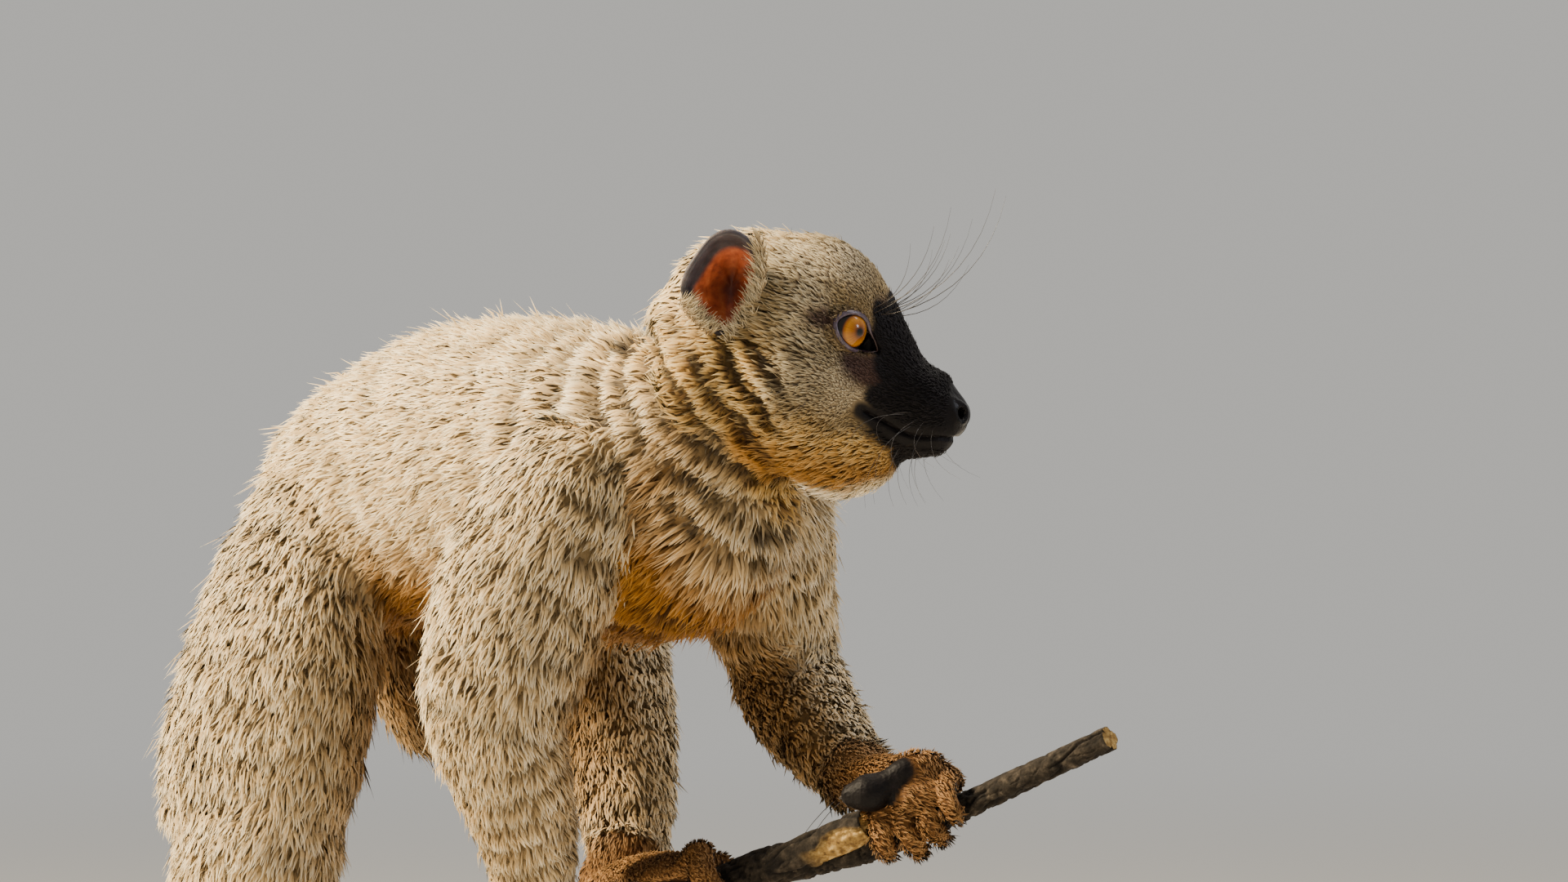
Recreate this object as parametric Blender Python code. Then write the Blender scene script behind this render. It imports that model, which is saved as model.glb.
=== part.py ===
"""Brown lemur gripping a cut branch, on a plain display stand, at life size.

Frame: metres, +Z up, origin at the centre of the base's underside. The trunk faces +X
and the animal's left side is +Y. Sizes are given in millimetres and scaled by MM.

The animal is modelled out to the tips of its coat. Each limb, the head and each hand
or foot is a set of lofts fused into one smooth body, which flat cuts then part at the
joints. The branch runs under all four hands and feet.
"""

import math

import bpy
import bmesh
import numpy as np
from mathutils import Matrix, Vector

MM = 0.001
GAP = 0.3 * MM            # air between neighbouring pieces
TWO_PI = 2 * math.pi

# ---------------------------------------------------------------- driving dimensions
BASE_LENGTH, BASE_WIDTH, BASE_THICKNESS = 330.0, 220.0, 16.0
BASE_CORNER, BASE_BEVEL = 38.0, 2.5
ROD_RADIUS, ROD_INTO_BRANCH = 3.6, 4.5
ROD_PLACES = ((-104, -62), (6, -37))    # where on the branch the rods meet it
COLLAR_RADIUS, COLLAR_HEIGHT = 10.0, 7.0

# The branch's centre line, from its rear cut end to its front one, with its radius.
BRANCH = (
    (-150, -70, 96, 9.5),
    (-75, -56, 134, 9.0),
    (-11, -41, 166, 8.4),
    (53, -24, 202, 7.6),
    (112, 5, 237, 6.9),
    (140, 16.5, 245.5, 6.5),
    (160, 28, 251, 5.3),
    (190, 42, 265, 4.6),
    (240, 58, 287, 4.2),
)
# The stub of a broken side stem, which leaves the branch just behind the left hand.
STUB = (
    (126, 8, 241, 5.2, 5.2, 5.2),
    (134, 11, 244.5, 6.2, 6.2, 6.2),
    (146, 15, 250, 6.6, 6.6, 6.6),
    (157, 18.5, 254.5, 6.4, 6.4, 6.4),
    (163, 20.5, 257, 5.4, 5.4, 5.4),
)

HEAD_CENTRE = (137, 2, 419.5)
HEAD_YAW, HEAD_PITCH = 47.0, 13.0
EYE_RADIUS, EYE_CENTRE = 8.2, (23.6, 15.2, 1.7)
EYE_SOCKET = 8.6

# Trunk stations along the spine: place, then half width, rise above and drop below it.
TRUNK = (
    (-158, 0, 341, 8, 9, 9),
    (-150, 0, 344, 24, 25, 24),
    (-134, 0, 350, 36, 37, 38),
    (-105, 0, 359, 45, 46, 48),
    (-55, 0, 367, 49, 54, 53),
    (-5, 0, 368, 49, 56, 55),
    (45, 0, 366, 47, 54, 54),
    (85, 0, 366, 41, 50, 53),
    (110, 0, 366, 33, 41, 44),
    (126, 0, 368, 22, 28, 30),
    (134, 0, 370, 9, 11, 11),
)
NECK = (
    (72, 0, 362, 34, 34, 34),
    (93, -1, 377, 39, 42, 41),
    (108, -3, 392, 33, 36, 35),
    (118, -4, 402, 22, 24, 24),
)
TAIL = (
    (-128, 0, 366, 15, 15, 15),
    (-158, 2, 342, 16.5, 16.5, 16.5),
    (-186, 4, 288, 18, 18, 18),
    (-200, 6, 222, 19.5, 19.5, 19.5),
    (-211, 8, 156, 21, 21, 21),
    (-227, 10, 100, 22.5, 22.5, 22.5),
    (-258, 12, 60, 23, 23, 23),
    (-302, 12, 45, 22, 22, 22),
    (-338, 11, 58, 18, 18, 18),
    (-360, 9, 82, 11, 11, 11),
    (-368, 8, 96, 4, 4, 4),
)
TAIL_CUTS = (0.33, 0.56, 0.78)    # shares of the tail's length


def point(x, y, z):
    """A point given in millimetres."""
    return Vector((x, y, z)) * MM


# ---------------------------------------------------------------- materials
def material(name, colour, roughness, metallic=0.0):
    made = bpy.data.materials.new(name)
    made.use_nodes = True
    shader = made.node_tree.nodes["Principled BSDF"]
    shader.inputs["Base Color"].default_value = (*colour, 1.0)
    shader.inputs["Roughness"].default_value = roughness
    shader.inputs["Metallic"].default_value = metallic
    return made


# ---------------------------------------------------------------- modelling tools
def add_object(name, mesh):
    made = bpy.data.objects.new(name, mesh)
    bpy.context.scene.collection.objects.link(made)
    return made


def discard(obj):
    bpy.data.objects.remove(obj)


def smooth_rows(stations, steps):
    """Catmull-Rom rows through the stations, with steps rows to each span."""
    rows = [np.array(s, float) for s in stations]
    rows = [2 * rows[0] - rows[1], *rows, 2 * rows[-1] - rows[-2]]
    made = []
    for i in range(1, len(rows) - 2):
        a, b, c, d = rows[i - 1:i + 3]
        for k in range(steps):
            t = k / steps
            made.append(0.5 * (2 * b + (c - a) * t + (2 * a - 5 * b + 4 * c - d) * t ** 2
                               + (3 * b - a - 3 * c + d) * t ** 3))
    made.append(rows[-2])
    return made


def loft(name, stations, side_hint, sides=20, steps=2):
    """A closed body of oval rings. A station is x, y, z, half width, rise, drop."""
    rows = smooth_rows(stations, steps)
    centres = [point(*row[:3]) for row in rows]
    bm = bmesh.new()
    rings = []
    for i, row in enumerate(rows):
        ahead, behind = centres[min(i + 1, len(rows) - 1)], centres[max(i - 1, 0)]
        along = (ahead - behind).normalized()
        side = (Vector(side_hint) - along * along.dot(Vector(side_hint))).normalized()
        up = along.cross(side)
        width, rise, drop = (max(value, 0.6) * MM for value in row[3:6])
        ring = []
        for k in range(sides):
            angle = TWO_PI * k / sides
            above = math.sin(angle)
            height = above * (rise if above > 0 else drop)
            across = width * math.cos(angle)
            ring.append(bm.verts.new(centres[i] + side * across + up * height))
        rings.append(ring)
    for low, high in zip(rings, rings[1:]):
        for k in range(sides):
            nxt = (k + 1) % sides
            bm.faces.new((low[k], low[nxt], high[nxt], high[k]))
    bm.faces.new(rings[0][::-1])
    bm.faces.new(rings[-1])
    bmesh.ops.recalc_face_normals(bm, faces=bm.faces)
    mesh = bpy.data.meshes.new(name)
    bm.to_mesh(mesh)
    bm.free()
    return add_object(name, mesh)


def ellipsoid(name, centre, radii, rings=12, segments=20):
    bm = bmesh.new()
    bmesh.ops.create_uvsphere(bm, u_segments=segments, v_segments=rings, radius=1.0)
    bmesh.ops.scale(bm, verts=bm.verts, vec=point(*radii))
    bmesh.ops.translate(bm, verts=bm.verts, vec=point(*centre))
    mesh = bpy.data.meshes.new(name)
    bm.to_mesh(mesh)
    bm.free()
    return add_object(name, mesh)


def evaluated(obj):
    """Applies the object's modifiers."""
    graph = bpy.context.evaluated_depsgraph_get()
    mesh = bpy.data.meshes.new_from_object(obj.evaluated_get(graph))
    obj.modifiers.clear()
    obj.data = mesh
    return obj


def joined(name, objects):
    bm = bmesh.new()
    for obj in objects:
        obj.data.transform(obj.matrix_basis)
        bm.from_mesh(obj.data)
    mesh = bpy.data.meshes.new(name)
    bm.to_mesh(mesh)
    bm.free()
    for obj in objects:
        discard(obj)
    return add_object(name, mesh)


def triangle_count(mesh):
    mesh.calc_loop_triangles()
    return len(mesh.loop_triangles)


def fused(name, objects, voxel, smoothing, triangles):
    """One smooth closed body of the overlapping objects, with about that many triangles."""
    obj = joined(name, objects)
    remesh = obj.modifiers.new("one_body", "REMESH")
    remesh.mode = "VOXEL"
    remesh.voxel_size = voxel * MM
    smooth = obj.modifiers.new("soften", "SMOOTH")
    smooth.factor = 0.5
    smooth.iterations = smoothing
    evaluated(obj)
    keep_largest(obj)
    fewer = obj.modifiers.new("fewer", "DECIMATE")
    fewer.ratio = min(1.0, triangles / triangle_count(obj.data))
    return evaluated(obj)


def keep_largest(obj):
    """Leaves only the body with the most vertices."""
    bm = bmesh.new()
    bm.from_mesh(obj.data)
    todo, bodies = set(bm.verts), []
    while todo:
        body, edge = set(), [todo.pop()]
        while edge:
            vert = edge.pop()
            body.add(vert)
            linked = {e.other_vert(vert) for e in vert.link_edges} & todo
            todo -= linked
            edge += linked
        bodies.append(body)
    largest = max(bodies, key=len)
    spare = [v for v in bm.verts if v not in largest]
    bmesh.ops.delete(bm, geom=spare, context="VERTS")
    bm.to_mesh(obj.data)
    bm.free()


def grown(obj, by):
    """A copy of the object, larger by that much all round."""
    copy = add_object(obj.name + "_grown", obj.data.copy())
    swell = copy.modifiers.new("swell", "DISPLACE")
    swell.strength, swell.mid_level = by, 0.0
    return evaluated(copy)


def combine(obj, other, operation="DIFFERENCE"):
    cut = obj.modifiers.new("combine", "BOOLEAN")
    cut.operation, cut.solver, cut.object = operation, "EXACT", other
    bpy.context.view_layer.update()
    return evaluated(obj)


def carve(obj, *neighbours):
    """Takes the neighbours' room, and the gap round it, out of the object."""
    for other in neighbours:
        tool = grown(other, GAP)
        combine(obj, tool)
        discard(tool)
    keep_largest(obj)
    return obj


def half(obj, name, place, normal):
    """The closed part of the object on the side that the normal points to."""
    bm = bmesh.new()
    bm.from_mesh(obj.data)
    normal = Vector(normal).normalized()
    bmesh.ops.bisect_plane(bm, geom=[*bm.verts, *bm.edges, *bm.faces], dist=1e-7,
                           plane_co=Vector(place) + normal * GAP / 2, plane_no=normal,
                           clear_inner=True)
    rim = [e for e in bm.edges if e.is_boundary]
    bmesh.ops.holes_fill(bm, edges=rim, sides=0)
    bmesh.ops.triangulate(bm, faces=bm.faces)
    bmesh.ops.recalc_face_normals(bm, faces=bm.faces)
    mesh = bpy.data.meshes.new(name)
    bm.to_mesh(mesh)
    bm.free()
    return add_object(name, mesh)


def parted(obj, names, cuts):
    """Parts a long body at each cut, a place and a normal along it, into named pieces."""
    pieces = []
    for name, (place, normal) in zip(names, cuts):
        pieces.append(half(obj, name, place, -Vector(normal)))
        rest = half(obj, names[-1], place, normal)
        discard(obj)
        obj = rest
    pieces.append(obj)
    return pieces


def finish(obj, name, look):
    obj.name = name
    obj.data.name = name
    obj.data.materials.clear()
    obj.data.materials.append(look)
    obj.data.shade_smooth()
    return obj


# ---------------------------------------------------------------- the branch
class Line:
    """A smooth centre line with a radius, measured along its length."""

    def __init__(self, stations, steps=12):
        self.rows = np.array(smooth_rows(stations, steps))
        paces = np.linalg.norm(np.diff(self.rows[:, :3], axis=0), axis=1)
        self.run = np.concatenate([[0.0], np.cumsum(paces)])
        self.length = self.run[-1]

    def at(self, distance):
        """Centre and radius there, in millimetres."""
        row = [np.interp(distance, self.run, self.rows[:, k]) for k in range(4)]
        return Vector(row[:3]), row[3]

    def heading(self, distance):
        ahead, behind = self.at(distance + 2)[0], self.at(distance - 2)[0]
        return (ahead - behind).normalized()

    def nearest(self, x, y):
        """Distance along the line of the point nearest that place, seen from above."""
        off = np.hypot(self.rows[:, 0] - x, self.rows[:, 1] - y)
        return self.run[int(off.argmin())]


def make_branch(line, look):
    """A cut branch, slightly knotted, with the broken stub of a side twig."""
    rows = []
    knots = 17
    for k in range(knots + 1):
        distance = line.length * k / knots
        centre, radius = line.at(distance)
        radius *= 1 + 0.05 * math.sin(5.1 * k) + 0.03 * math.sin(2.3 * k + 1)
        rows.append((*centre, radius, radius * 0.97, radius * 1.02))
    stem = loft("branch_stem", rows, (0, 1, 0), sides=10, steps=1)
    twig = loft("branch_stub", STUB, (0, 0, 1), sides=9, steps=1)
    combine(stem, twig, "UNION")
    discard(twig)
    return finish(stem, "perch_branch", look)


# ---------------------------------------------------------------- the stand
def rounded_plate():
    bm = bmesh.new()
    corner_steps = 7
    outline = []
    for cx, cy, start in ((1, 1, 0), (-1, 1, 90), (-1, -1, 180), (1, -1, 270)):
        for k in range(corner_steps + 1):
            angle = math.radians(start + 90 * k / corner_steps)
            x = cx * (BASE_LENGTH / 2 - BASE_CORNER) + BASE_CORNER * math.cos(angle)
            y = cy * (BASE_WIDTH / 2 - BASE_CORNER) + BASE_CORNER * math.sin(angle)
            outline.append(bm.verts.new(point(x, y, 0)))
    sole = bm.faces.new(outline)
    raised = bmesh.ops.extrude_face_region(bm, geom=[sole])
    lifted = [g for g in raised["geom"] if isinstance(g, bmesh.types.BMVert)]
    bmesh.ops.translate(bm, verts=lifted, vec=point(0, 0, BASE_THICKNESS))
    bmesh.ops.recalc_face_normals(bm, faces=bm.faces)
    top = [e for e in bm.edges if all(v.co.z > BASE_THICKNESS * MM / 2 for v in e.verts)]
    bmesh.ops.bevel(bm, geom=top, offset=BASE_BEVEL * MM, segments=2, profile=0.5,
                    affect="EDGES", clamp_overlap=True)
    mesh = bpy.data.meshes.new("stand_base")
    bm.to_mesh(mesh)
    bm.free()
    return add_object("stand_base", mesh)


def cylinder(name, x, y, low, high, radius, sides=20):
    bm = bmesh.new()
    bmesh.ops.create_cone(bm, cap_ends=True, segments=sides, radius1=radius * MM,
                          radius2=radius * MM, depth=(high - low) * MM)
    bmesh.ops.translate(bm, verts=bm.verts, vec=point(x, y, (low + high) / 2))
    mesh = bpy.data.meshes.new(name)
    bm.to_mesh(mesh)
    bm.free()
    return add_object(name, mesh)


def make_stand(branch, line, wood, steel):
    """The base, and two rods that stand on it and enter holes under the branch."""
    finish(rounded_plate(), "stand_base", wood)
    for number, place in enumerate(ROD_PLACES, start=1):
        centre, radius = line.at(line.nearest(*place))
        top = centre.z - radius + ROD_INTO_BRANCH
        bottom = BASE_THICKNESS + GAP / MM
        rod = cylinder(f"rod_{number}", centre.x, centre.y, bottom, top, ROD_RADIUS)
        collar = cylinder("collar", centre.x, centre.y, bottom, bottom + COLLAR_HEIGHT,
                          COLLAR_RADIUS)
        combine(rod, collar, "UNION")
        discard(collar)
        drill = cylinder("drill", centre.x, centre.y, bottom, top + GAP / MM,
                         ROD_RADIUS + GAP / MM)
        combine(branch, drill)
        discard(drill)
        finish(rod, f"stand_rod_{number}", steel)


# ---------------------------------------------------------------- limbs
class Grip:
    """A place on the branch with its own axes: along it, and round it from the palm."""

    def __init__(self, line, x, y, palm_towards, fingers_towards):
        self.line = line
        self.place = line.nearest(x, y)
        self.along = line.heading(self.place)
        palm = Vector(palm_towards)
        self.palm = (palm - self.along * self.along.dot(palm)).normalized()
        wrap = Vector(fingers_towards)
        wrap = wrap - self.along * self.along.dot(wrap)
        self.wrap = (wrap - self.palm * self.palm.dot(wrap)).normalized()

    def at(self, offset, degrees, clearance):
        """A place off the branch's bark, that far along and round from the palm."""
        centre, radius = self.line.at(self.place + offset)
        angle = math.radians(degrees)
        out = self.palm * math.cos(angle) + self.wrap * math.sin(angle)
        return centre + out * (radius + clearance)


def digit(name, grip, root, path, radius):
    """A finger or toe from its root through places round the branch, with a padded tip."""
    shares = (1.15, 1.08, 1.0, 1.0, 0.95, 1.04, 0.62)
    places = [Vector(root)]
    for offset, degrees, lift in path:
        places.append(grip.at(offset, degrees, radius + 0.4 + lift))
    count = len(places)
    stations = []
    for k, place in enumerate(places):
        size = radius * float(np.interp(k / (count - 1), np.linspace(0, 1, 7), shares))
        stations.append((*place, size, size, size))
    return loft(name, stations, grip.along, sides=10, steps=2)


def make_hand(name, grip, plan, size):
    """A palm on the bark, fingers wrapped one way and the thumb the other."""
    thumb_end = plan["thumb_end"]
    wide, thick, lift = size["width"], size["thickness"], size["lift"]
    knuckle = size["knuckle_angle"]
    end, heel = Vector(plan["end"]), Vector(plan["heel"])
    middle = grip.at(0, -4, lift)
    knuckles = grip.at(2 * -thumb_end, knuckle, lift * 0.62)
    half_way = heel.lerp(middle, 0.5) + grip.palm * size["arch"]
    rows = (
        (*heel, size["heel_radius"], size["heel_radius"], size["heel_radius"]),
        (*half_way, wide * 0.80, thick * 1.25, thick * 1.25),
        (*middle, wide, thick, thick),
        (*knuckles, wide * 0.95, thick * 0.72, thick * 0.72),
    )
    pieces = [
        loft("palm", rows, grip.along, sides=16, steps=3),
        ellipsoid("heel", heel, (size["heel_radius"],) * 3),
        ellipsoid("joint", end, (size["joint_radius"],) * 3),
    ]
    for offset, reach in size["fingers"]:
        reach -= plan.get("open", 0)
        offset *= -thumb_end
        root = grip.at(offset * 0.8, knuckle * 0.55, lift * 0.72)
        path = []
        for k in range(7):
            share = k / 6
            angle = knuckle + (reach - knuckle) * share
            path.append((offset * (1 + 0.10 * share), angle, 1.4 * (1 - share)))
        pieces.append(digit("finger", grip, root, path, size["finger_radius"]))
    if "thumb" in plan:
        rows = [(x, y, z, radius, radius, radius) for x, y, z, radius in plan["thumb"]]
        pieces.append(loft("thumb", rows, grip.along, sides=12, steps=2))
        return fused(name, pieces, voxel=1.0, smoothing=5, triangles=size["triangles"])
    offset, low, high = size["thumb"]
    offset *= thumb_end
    root = grip.at(offset * 0.5, -10, lift * 0.6)
    path = []
    for k in range(6):
        share = k / 5
        path.append((offset * (1 + 0.2 * share), low + (high - low) * share,
                     1.0 * (1 - share)))
    pieces.append(digit("thumb", grip, root, path, size["thumb_radius"]))
    return fused(name, pieces, voxel=1.0, smoothing=5, triangles=size["triangles"])


# Sizes in millimetres. Each finger: distance along the branch, and degrees it reaches
# round it. The thumb: distance along the branch, then where round it it starts and ends.
HAND = {
    "width": 12.5, "thickness": 7.5, "lift": 9.5, "arch": 2.0, "knuckle_angle": 38,
    "heel_radius": 11.0, "joint_radius": 11.5, "finger_radius": 3.7, "thumb_radius": 4.3,
    "fingers": ((12.0, 176), (3.8, 212), (-4.4, 218), (-12.6, 190)),
    "thumb": (14.0, -36, -128), "triangles": 440,
}
FOOT = {
    "width": 12.5, "thickness": 5.5, "lift": 5.8, "arch": 3.0, "knuckle_angle": 40,
    "heel_radius": 11.0, "joint_radius": 13.0, "finger_radius": 3.9, "thumb_radius": 5.0,
    "fingers": ((12.5, 170), (4.0, 200), (-4.6, 206), (-13.0, 184)),
    "thumb": (15.0, -34, -140), "triangles": 400,
}

# Limb stations: place, then half width sideways, and the reach to the front and back.
# bend and end are where flat cuts part it, across those directions.
LIMBS = {
    "arm_left": {
        "upper": ((84, 24, 380, 20, 24, 24), (79, 33, 358, 28, 30, 29),
                  (64, 47, 334, 26, 28, 28), (52, 60, 316, 23, 25, 25),
                  (45, 65, 303, 14, 15, 16)),
        "lower": ((42, 67, 312, 13, 13, 14), (50, 65, 305, 20, 20, 21),
                  (78, 55, 290, 19, 19, 20), (102, 49, 279, 16.5, 15.5, 17),
                  (116, 46, 273, 14.5, 13.5, 14.5), (131, 43, 266, 12.5, 12, 12.5)),
        "bend": (47, 64, 307), "bend_way": (0.3, 0.1, -1),
        "end": (122, 44, 271), "end_way": (0.95, -0.2, -0.25), "heel": (128, 43, 270),
        "grip": (177, 36), "palm_towards": (-0.15, 0.30, 1),
        "fingers_towards": (0.2, -1, -0.2), "thumb_end": -1, "open": 52,
        "thumb": ((178, 38, 274.5, 4.6), (177.5, 34, 276.0, 5.2), (177, 30, 276.5, 5.4),
                  (175, 25.5, 275.0, 4.6), (172, 21.5, 272.3, 5.6), (168.5, 18, 269.8, 6.3),
                  (165.5, 14.8, 268.4, 5.2), (164.3, 13.4, 268.0, 2.6)),
    },
    "arm_right": {
        "upper": ((82, -26, 384, 20, 24, 22), (79, -34, 366, 27, 31, 29),
                  (68, -45, 340, 30, 34, 34), (66, -54, 315, 28, 32, 32),
                  (66, -60, 296, 25, 29, 29), (65, -60, 284, 17, 19, 19)),
        "lower": ((66, -60, 304, 17, 20, 20), (66, -60, 296, 23, 27, 27),
                  (66, -58, 282, 22, 27, 27), (64, -51, 265, 19.5, 23, 22),
                  (59, -43, 248, 17, 19.5, 18.5), (54, -37, 232, 14.5, 16, 15.5),
                  (51, -33, 215, 12.5, 13, 13)),
        "bend": (66, -60, 292), "bend_way": (-0.05, 0.1, -1),
        "end": (52, -35, 226), "end_way": (0.05, 0.2, -1), "heel": (51, -33, 221),
        "grip": (54, -23), "palm_towards": (-0.1, 0, 1),
        "fingers_towards": (0.1, -1, 0), "thumb_end": 1,
    },
    "leg_left": {
        "upper": ((-106, 24, 362, 22, 30, 30), (-92, 34, 346, 30, 42, 44),
                  (-70, 43, 328, 30, 42, 46), (-48, 49, 314, 27, 32, 38),
                  (-30, 52, 303, 22, 24, 28), (-20, 53, 297, 13, 14, 17)),
        "haunch": ((-108, 35, 315), (55, 33, 55)),
        "lower": ((-42, 52, 314, 17, 17, 19), (-32, 50, 300, 22, 23, 26),
                  (-11, 41, 275, 20, 20, 27), (5, 33, 252, 17.5, 17, 24),
                  (14, 27, 239, 14, 14, 16), (18, 23, 226, 11, 11, 13)),
        "bend": (-33, 50, 302), "bend_way": (0.68, -0.1, -0.74),
        "end": (13, 27, 241), "end_way": (0.25, -0.4, -0.9), "heel": (4, 25, 228),
        "grip": (92, -4), "palm_towards": (-0.1, 0.1, 1),
        "fingers_towards": (0, 1, 0), "thumb_end": 1,
    },
    "leg_right": {
        "upper": ((-100, -28, 368, 20, 26, 26), (-96, -36, 342, 28, 38, 36),
                  (-92, -47, 311, 32, 46, 44), (-93, -53, 285, 33, 48, 46),
                  (-95, -57, 262, 32, 48, 48), (-95, -60, 245, 28, 42, 44),
                  (-94, -61, 230, 18, 26, 28)),
        "lower": ((-76, -62, 264, 20, 24, 26), (-80, -62, 246, 28, 34, 40),
                  (-90, -62, 224, 28, 31, 38), (-99, -61, 198, 24, 25, 31),
                  (-107, -60, 172, 19, 19, 23), (-113, -60, 152, 14.5, 14, 16),
                  (-116, -60, 138, 12, 11, 13)),
        "bend": (-90, -61, 240), "bend_way": (-0.3, 0, -1),
        "end": (-112, -60, 155), "end_way": (0.5, 0, -0.85), "heel": (-122, -61, 142),
        "grip": (-46, -50), "palm_towards": (-0.1, -0.1, 1),
        "fingers_towards": (0, -1, 0), "thumb_end": 1,
    },
}
PIECE_NAMES = {"arm": ("upper_arm", "forearm", "hand"), "leg": ("thigh", "shank", "foot")}


def make_limb(limb, plan, line, coat, paw):
    """A limb of two segments and its hand or foot, as three pieces."""
    kind, side = limb.split("_")
    first, second, third = (f"{name}_{side}" for name in PIECE_NAMES[kind])
    parts = [loft("upper", plan["upper"], (0, 1, 0), sides=18, steps=2),
             loft("lower", plan["lower"], (0, 1, 0), sides=18, steps=2)]
    if "haunch" in plan:
        parts.append(ellipsoid("haunch", *plan["haunch"]))
    arm = fused("limb", parts, voxel=2.6, smoothing=6, triangles=320)
    grip = Grip(line, *plan["grip"], plan["palm_towards"], plan["fingers_towards"])
    size = HAND if kind == "arm" else FOOT
    hand = make_hand(third, grip, plan, size)
    end, end_way = point(*plan["end"]), Vector(plan["end_way"])
    hand_piece = half(hand, third, end, end_way)
    discard(hand)
    shaft = half(arm, "limb", end, -end_way)
    discard(arm)
    keep_largest(hand_piece)
    keep_largest(shaft)
    cut = (point(*plan["bend"]), Vector(plan["bend_way"]))
    upper, lower = parted(shaft, (first, second), [cut])
    for piece, name in ((upper, first), (lower, second)):
        keep_largest(piece)
        finish(piece, name, coat)
    finish(hand_piece, third, paw)
    return upper, lower, hand_piece


# ---------------------------------------------------------------- the head
def head_matrix():
    yaw = Matrix.Rotation(math.radians(HEAD_YAW), 4, "Z")
    pitch = Matrix.Rotation(math.radians(HEAD_PITCH), 4, "Y")
    return Matrix.Translation(point(*HEAD_CENTRE)) @ yaw @ pitch


# Muzzle stations in the head's own axes: x, height, half width, rise and drop.
MUZZLE = (
    (8, -12, 25, 35, 26),
    (20, -10, 23, 35, 27),
    (30, -9, 18.5, 30, 28.5),
    (38, -10, 15.0, 17.8, 27.5),
    (46, -13, 13.0, 11.8, 24.5),
    (54, -16, 12.0, 12.3, 21),
    (61, -18, 10.4, 10.0, 15),
    (66, -18.2, 7.8, 7.4, 8.5),
    (69, -18.4, 3.5, 3.4, 3.4),
)


def make_head():
    """Skull, muzzle, brows, cheeks and ruff fused into one head, in its own axes."""
    pieces = [
        ellipsoid("cranium", (-1, 0, 0.5), (36.5, 32, 28)),
        ellipsoid("back_of_head", (-16, 0, -9), (25, 31, 25)),
        ellipsoid("forehead", (10, 0, 5), (27, 25, 25.3)),
        ellipsoid("throat", (30, 0, -36), (20, 14, 17)),
        ellipsoid("jaw_fur", (10, 0, -32), (27, 22, 18)),
        loft("muzzle", [(x, 0, z, w, rise, drop) for x, z, w, rise, drop in MUZZLE],
             (0, 1, 0), sides=24, steps=3),
    ]
    for side in (1, -1):
        pieces += [
            ellipsoid("brow", (19, 12 * side, 9.5), (14, 11, 9.5)),
            ellipsoid("cheek", (3, 15 * side, -17), (30, 20, 22)),
            ellipsoid("cheek_fur", (-13, 16 * side, -20), (21, 20, 22)),
        ]
    head = fused("head", pieces, voxel=1.6, smoothing=6, triangles=960)
    for side in (1, -1):
        x, y, z = EYE_CENTRE
        room = ellipsoid("socket", (x, y * side, z), (EYE_SOCKET,) * 3, 9, 14)
        combine(head, room)
        discard(room)
    return head


def make_eye(side, look):
    x, y, z = EYE_CENTRE
    eye = ellipsoid("eye", (x, y * side, z), (EYE_RADIUS,) * 3, 9, 14)
    eye.data.transform(head_matrix())
    return finish(eye, "eye_left" if side > 0 else "eye_right", look)


EAR = {"root": (-9, 26.0, -5), "height": 30, "width": 26, "thickness": 1.6,
       "lean_back": 16, "lean_out": 24, "turn": 24, "cup": 8.0}


def make_ear(side, look):
    """A cupped, round-topped ear standing out from the side of the head."""
    across_steps, up_steps = 6, 7
    bm = bmesh.new()
    grid = []
    for j in range(up_steps + 1):
        up = j / up_steps
        level = math.sin(up * math.pi / 2)
        over = max(0.0, (level - 0.42) / 0.58)
        breadth = EAR["width"] / 2 * min(1.0, 0.8 + 0.5 * level)
        breadth *= max(0.0, 1 - over ** 2) ** 0.5
        row = []
        for i in range(across_steps + 1):
            across = 2 * i / across_steps - 1
            x = across * max(breadth, 3.0)
            z = EAR["height"] * level - 2.2 * across ** 2 * (1 - up)
            y = -EAR["cup"] * (1 - across ** 2) * (1 - 0.75 * up)
            row.append(bm.verts.new(point(x, y, z)))
        grid.append(row)
    for low, high in zip(grid, grid[1:]):
        for i in range(across_steps):
            bm.faces.new((low[i], low[i + 1], high[i + 1], high[i]))
    mesh = bpy.data.meshes.new("ear")
    bm.to_mesh(mesh)
    bm.free()
    ear = add_object("ear", mesh)
    wall = ear.modifiers.new("wall", "SOLIDIFY")
    wall.thickness, wall.offset = EAR["thickness"] * MM, 0.0
    evaluated(ear)
    turn = (Matrix.Rotation(math.radians(EAR["turn"]), 4, "Z")
            @ Matrix.Rotation(math.radians(-EAR["lean_out"]), 4, "X")
            @ Matrix.Rotation(math.radians(-EAR["lean_back"]), 4, "Y"))
    ear.data.transform(Matrix.Translation(point(*EAR["root"])) @ turn)
    if side < 0:
        ear.data.transform(Matrix.Scale(-1, 4, (0, 1, 0)))
        ear.data.flip_normals()
    ear.data.transform(head_matrix())
    return finish(ear, "ear_left" if side > 0 else "ear_right", look)


def part_nose(head):
    """The bare nose pad at the muzzle's tip, cut from the head along a slanted plane."""
    place, normal = point(62.5, 0, -15), Vector((1, 0, 0.12))
    nose = half(head, "nose", place, normal)
    face = half(head, "head", place, -normal)
    discard(head)
    return face, nose


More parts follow.
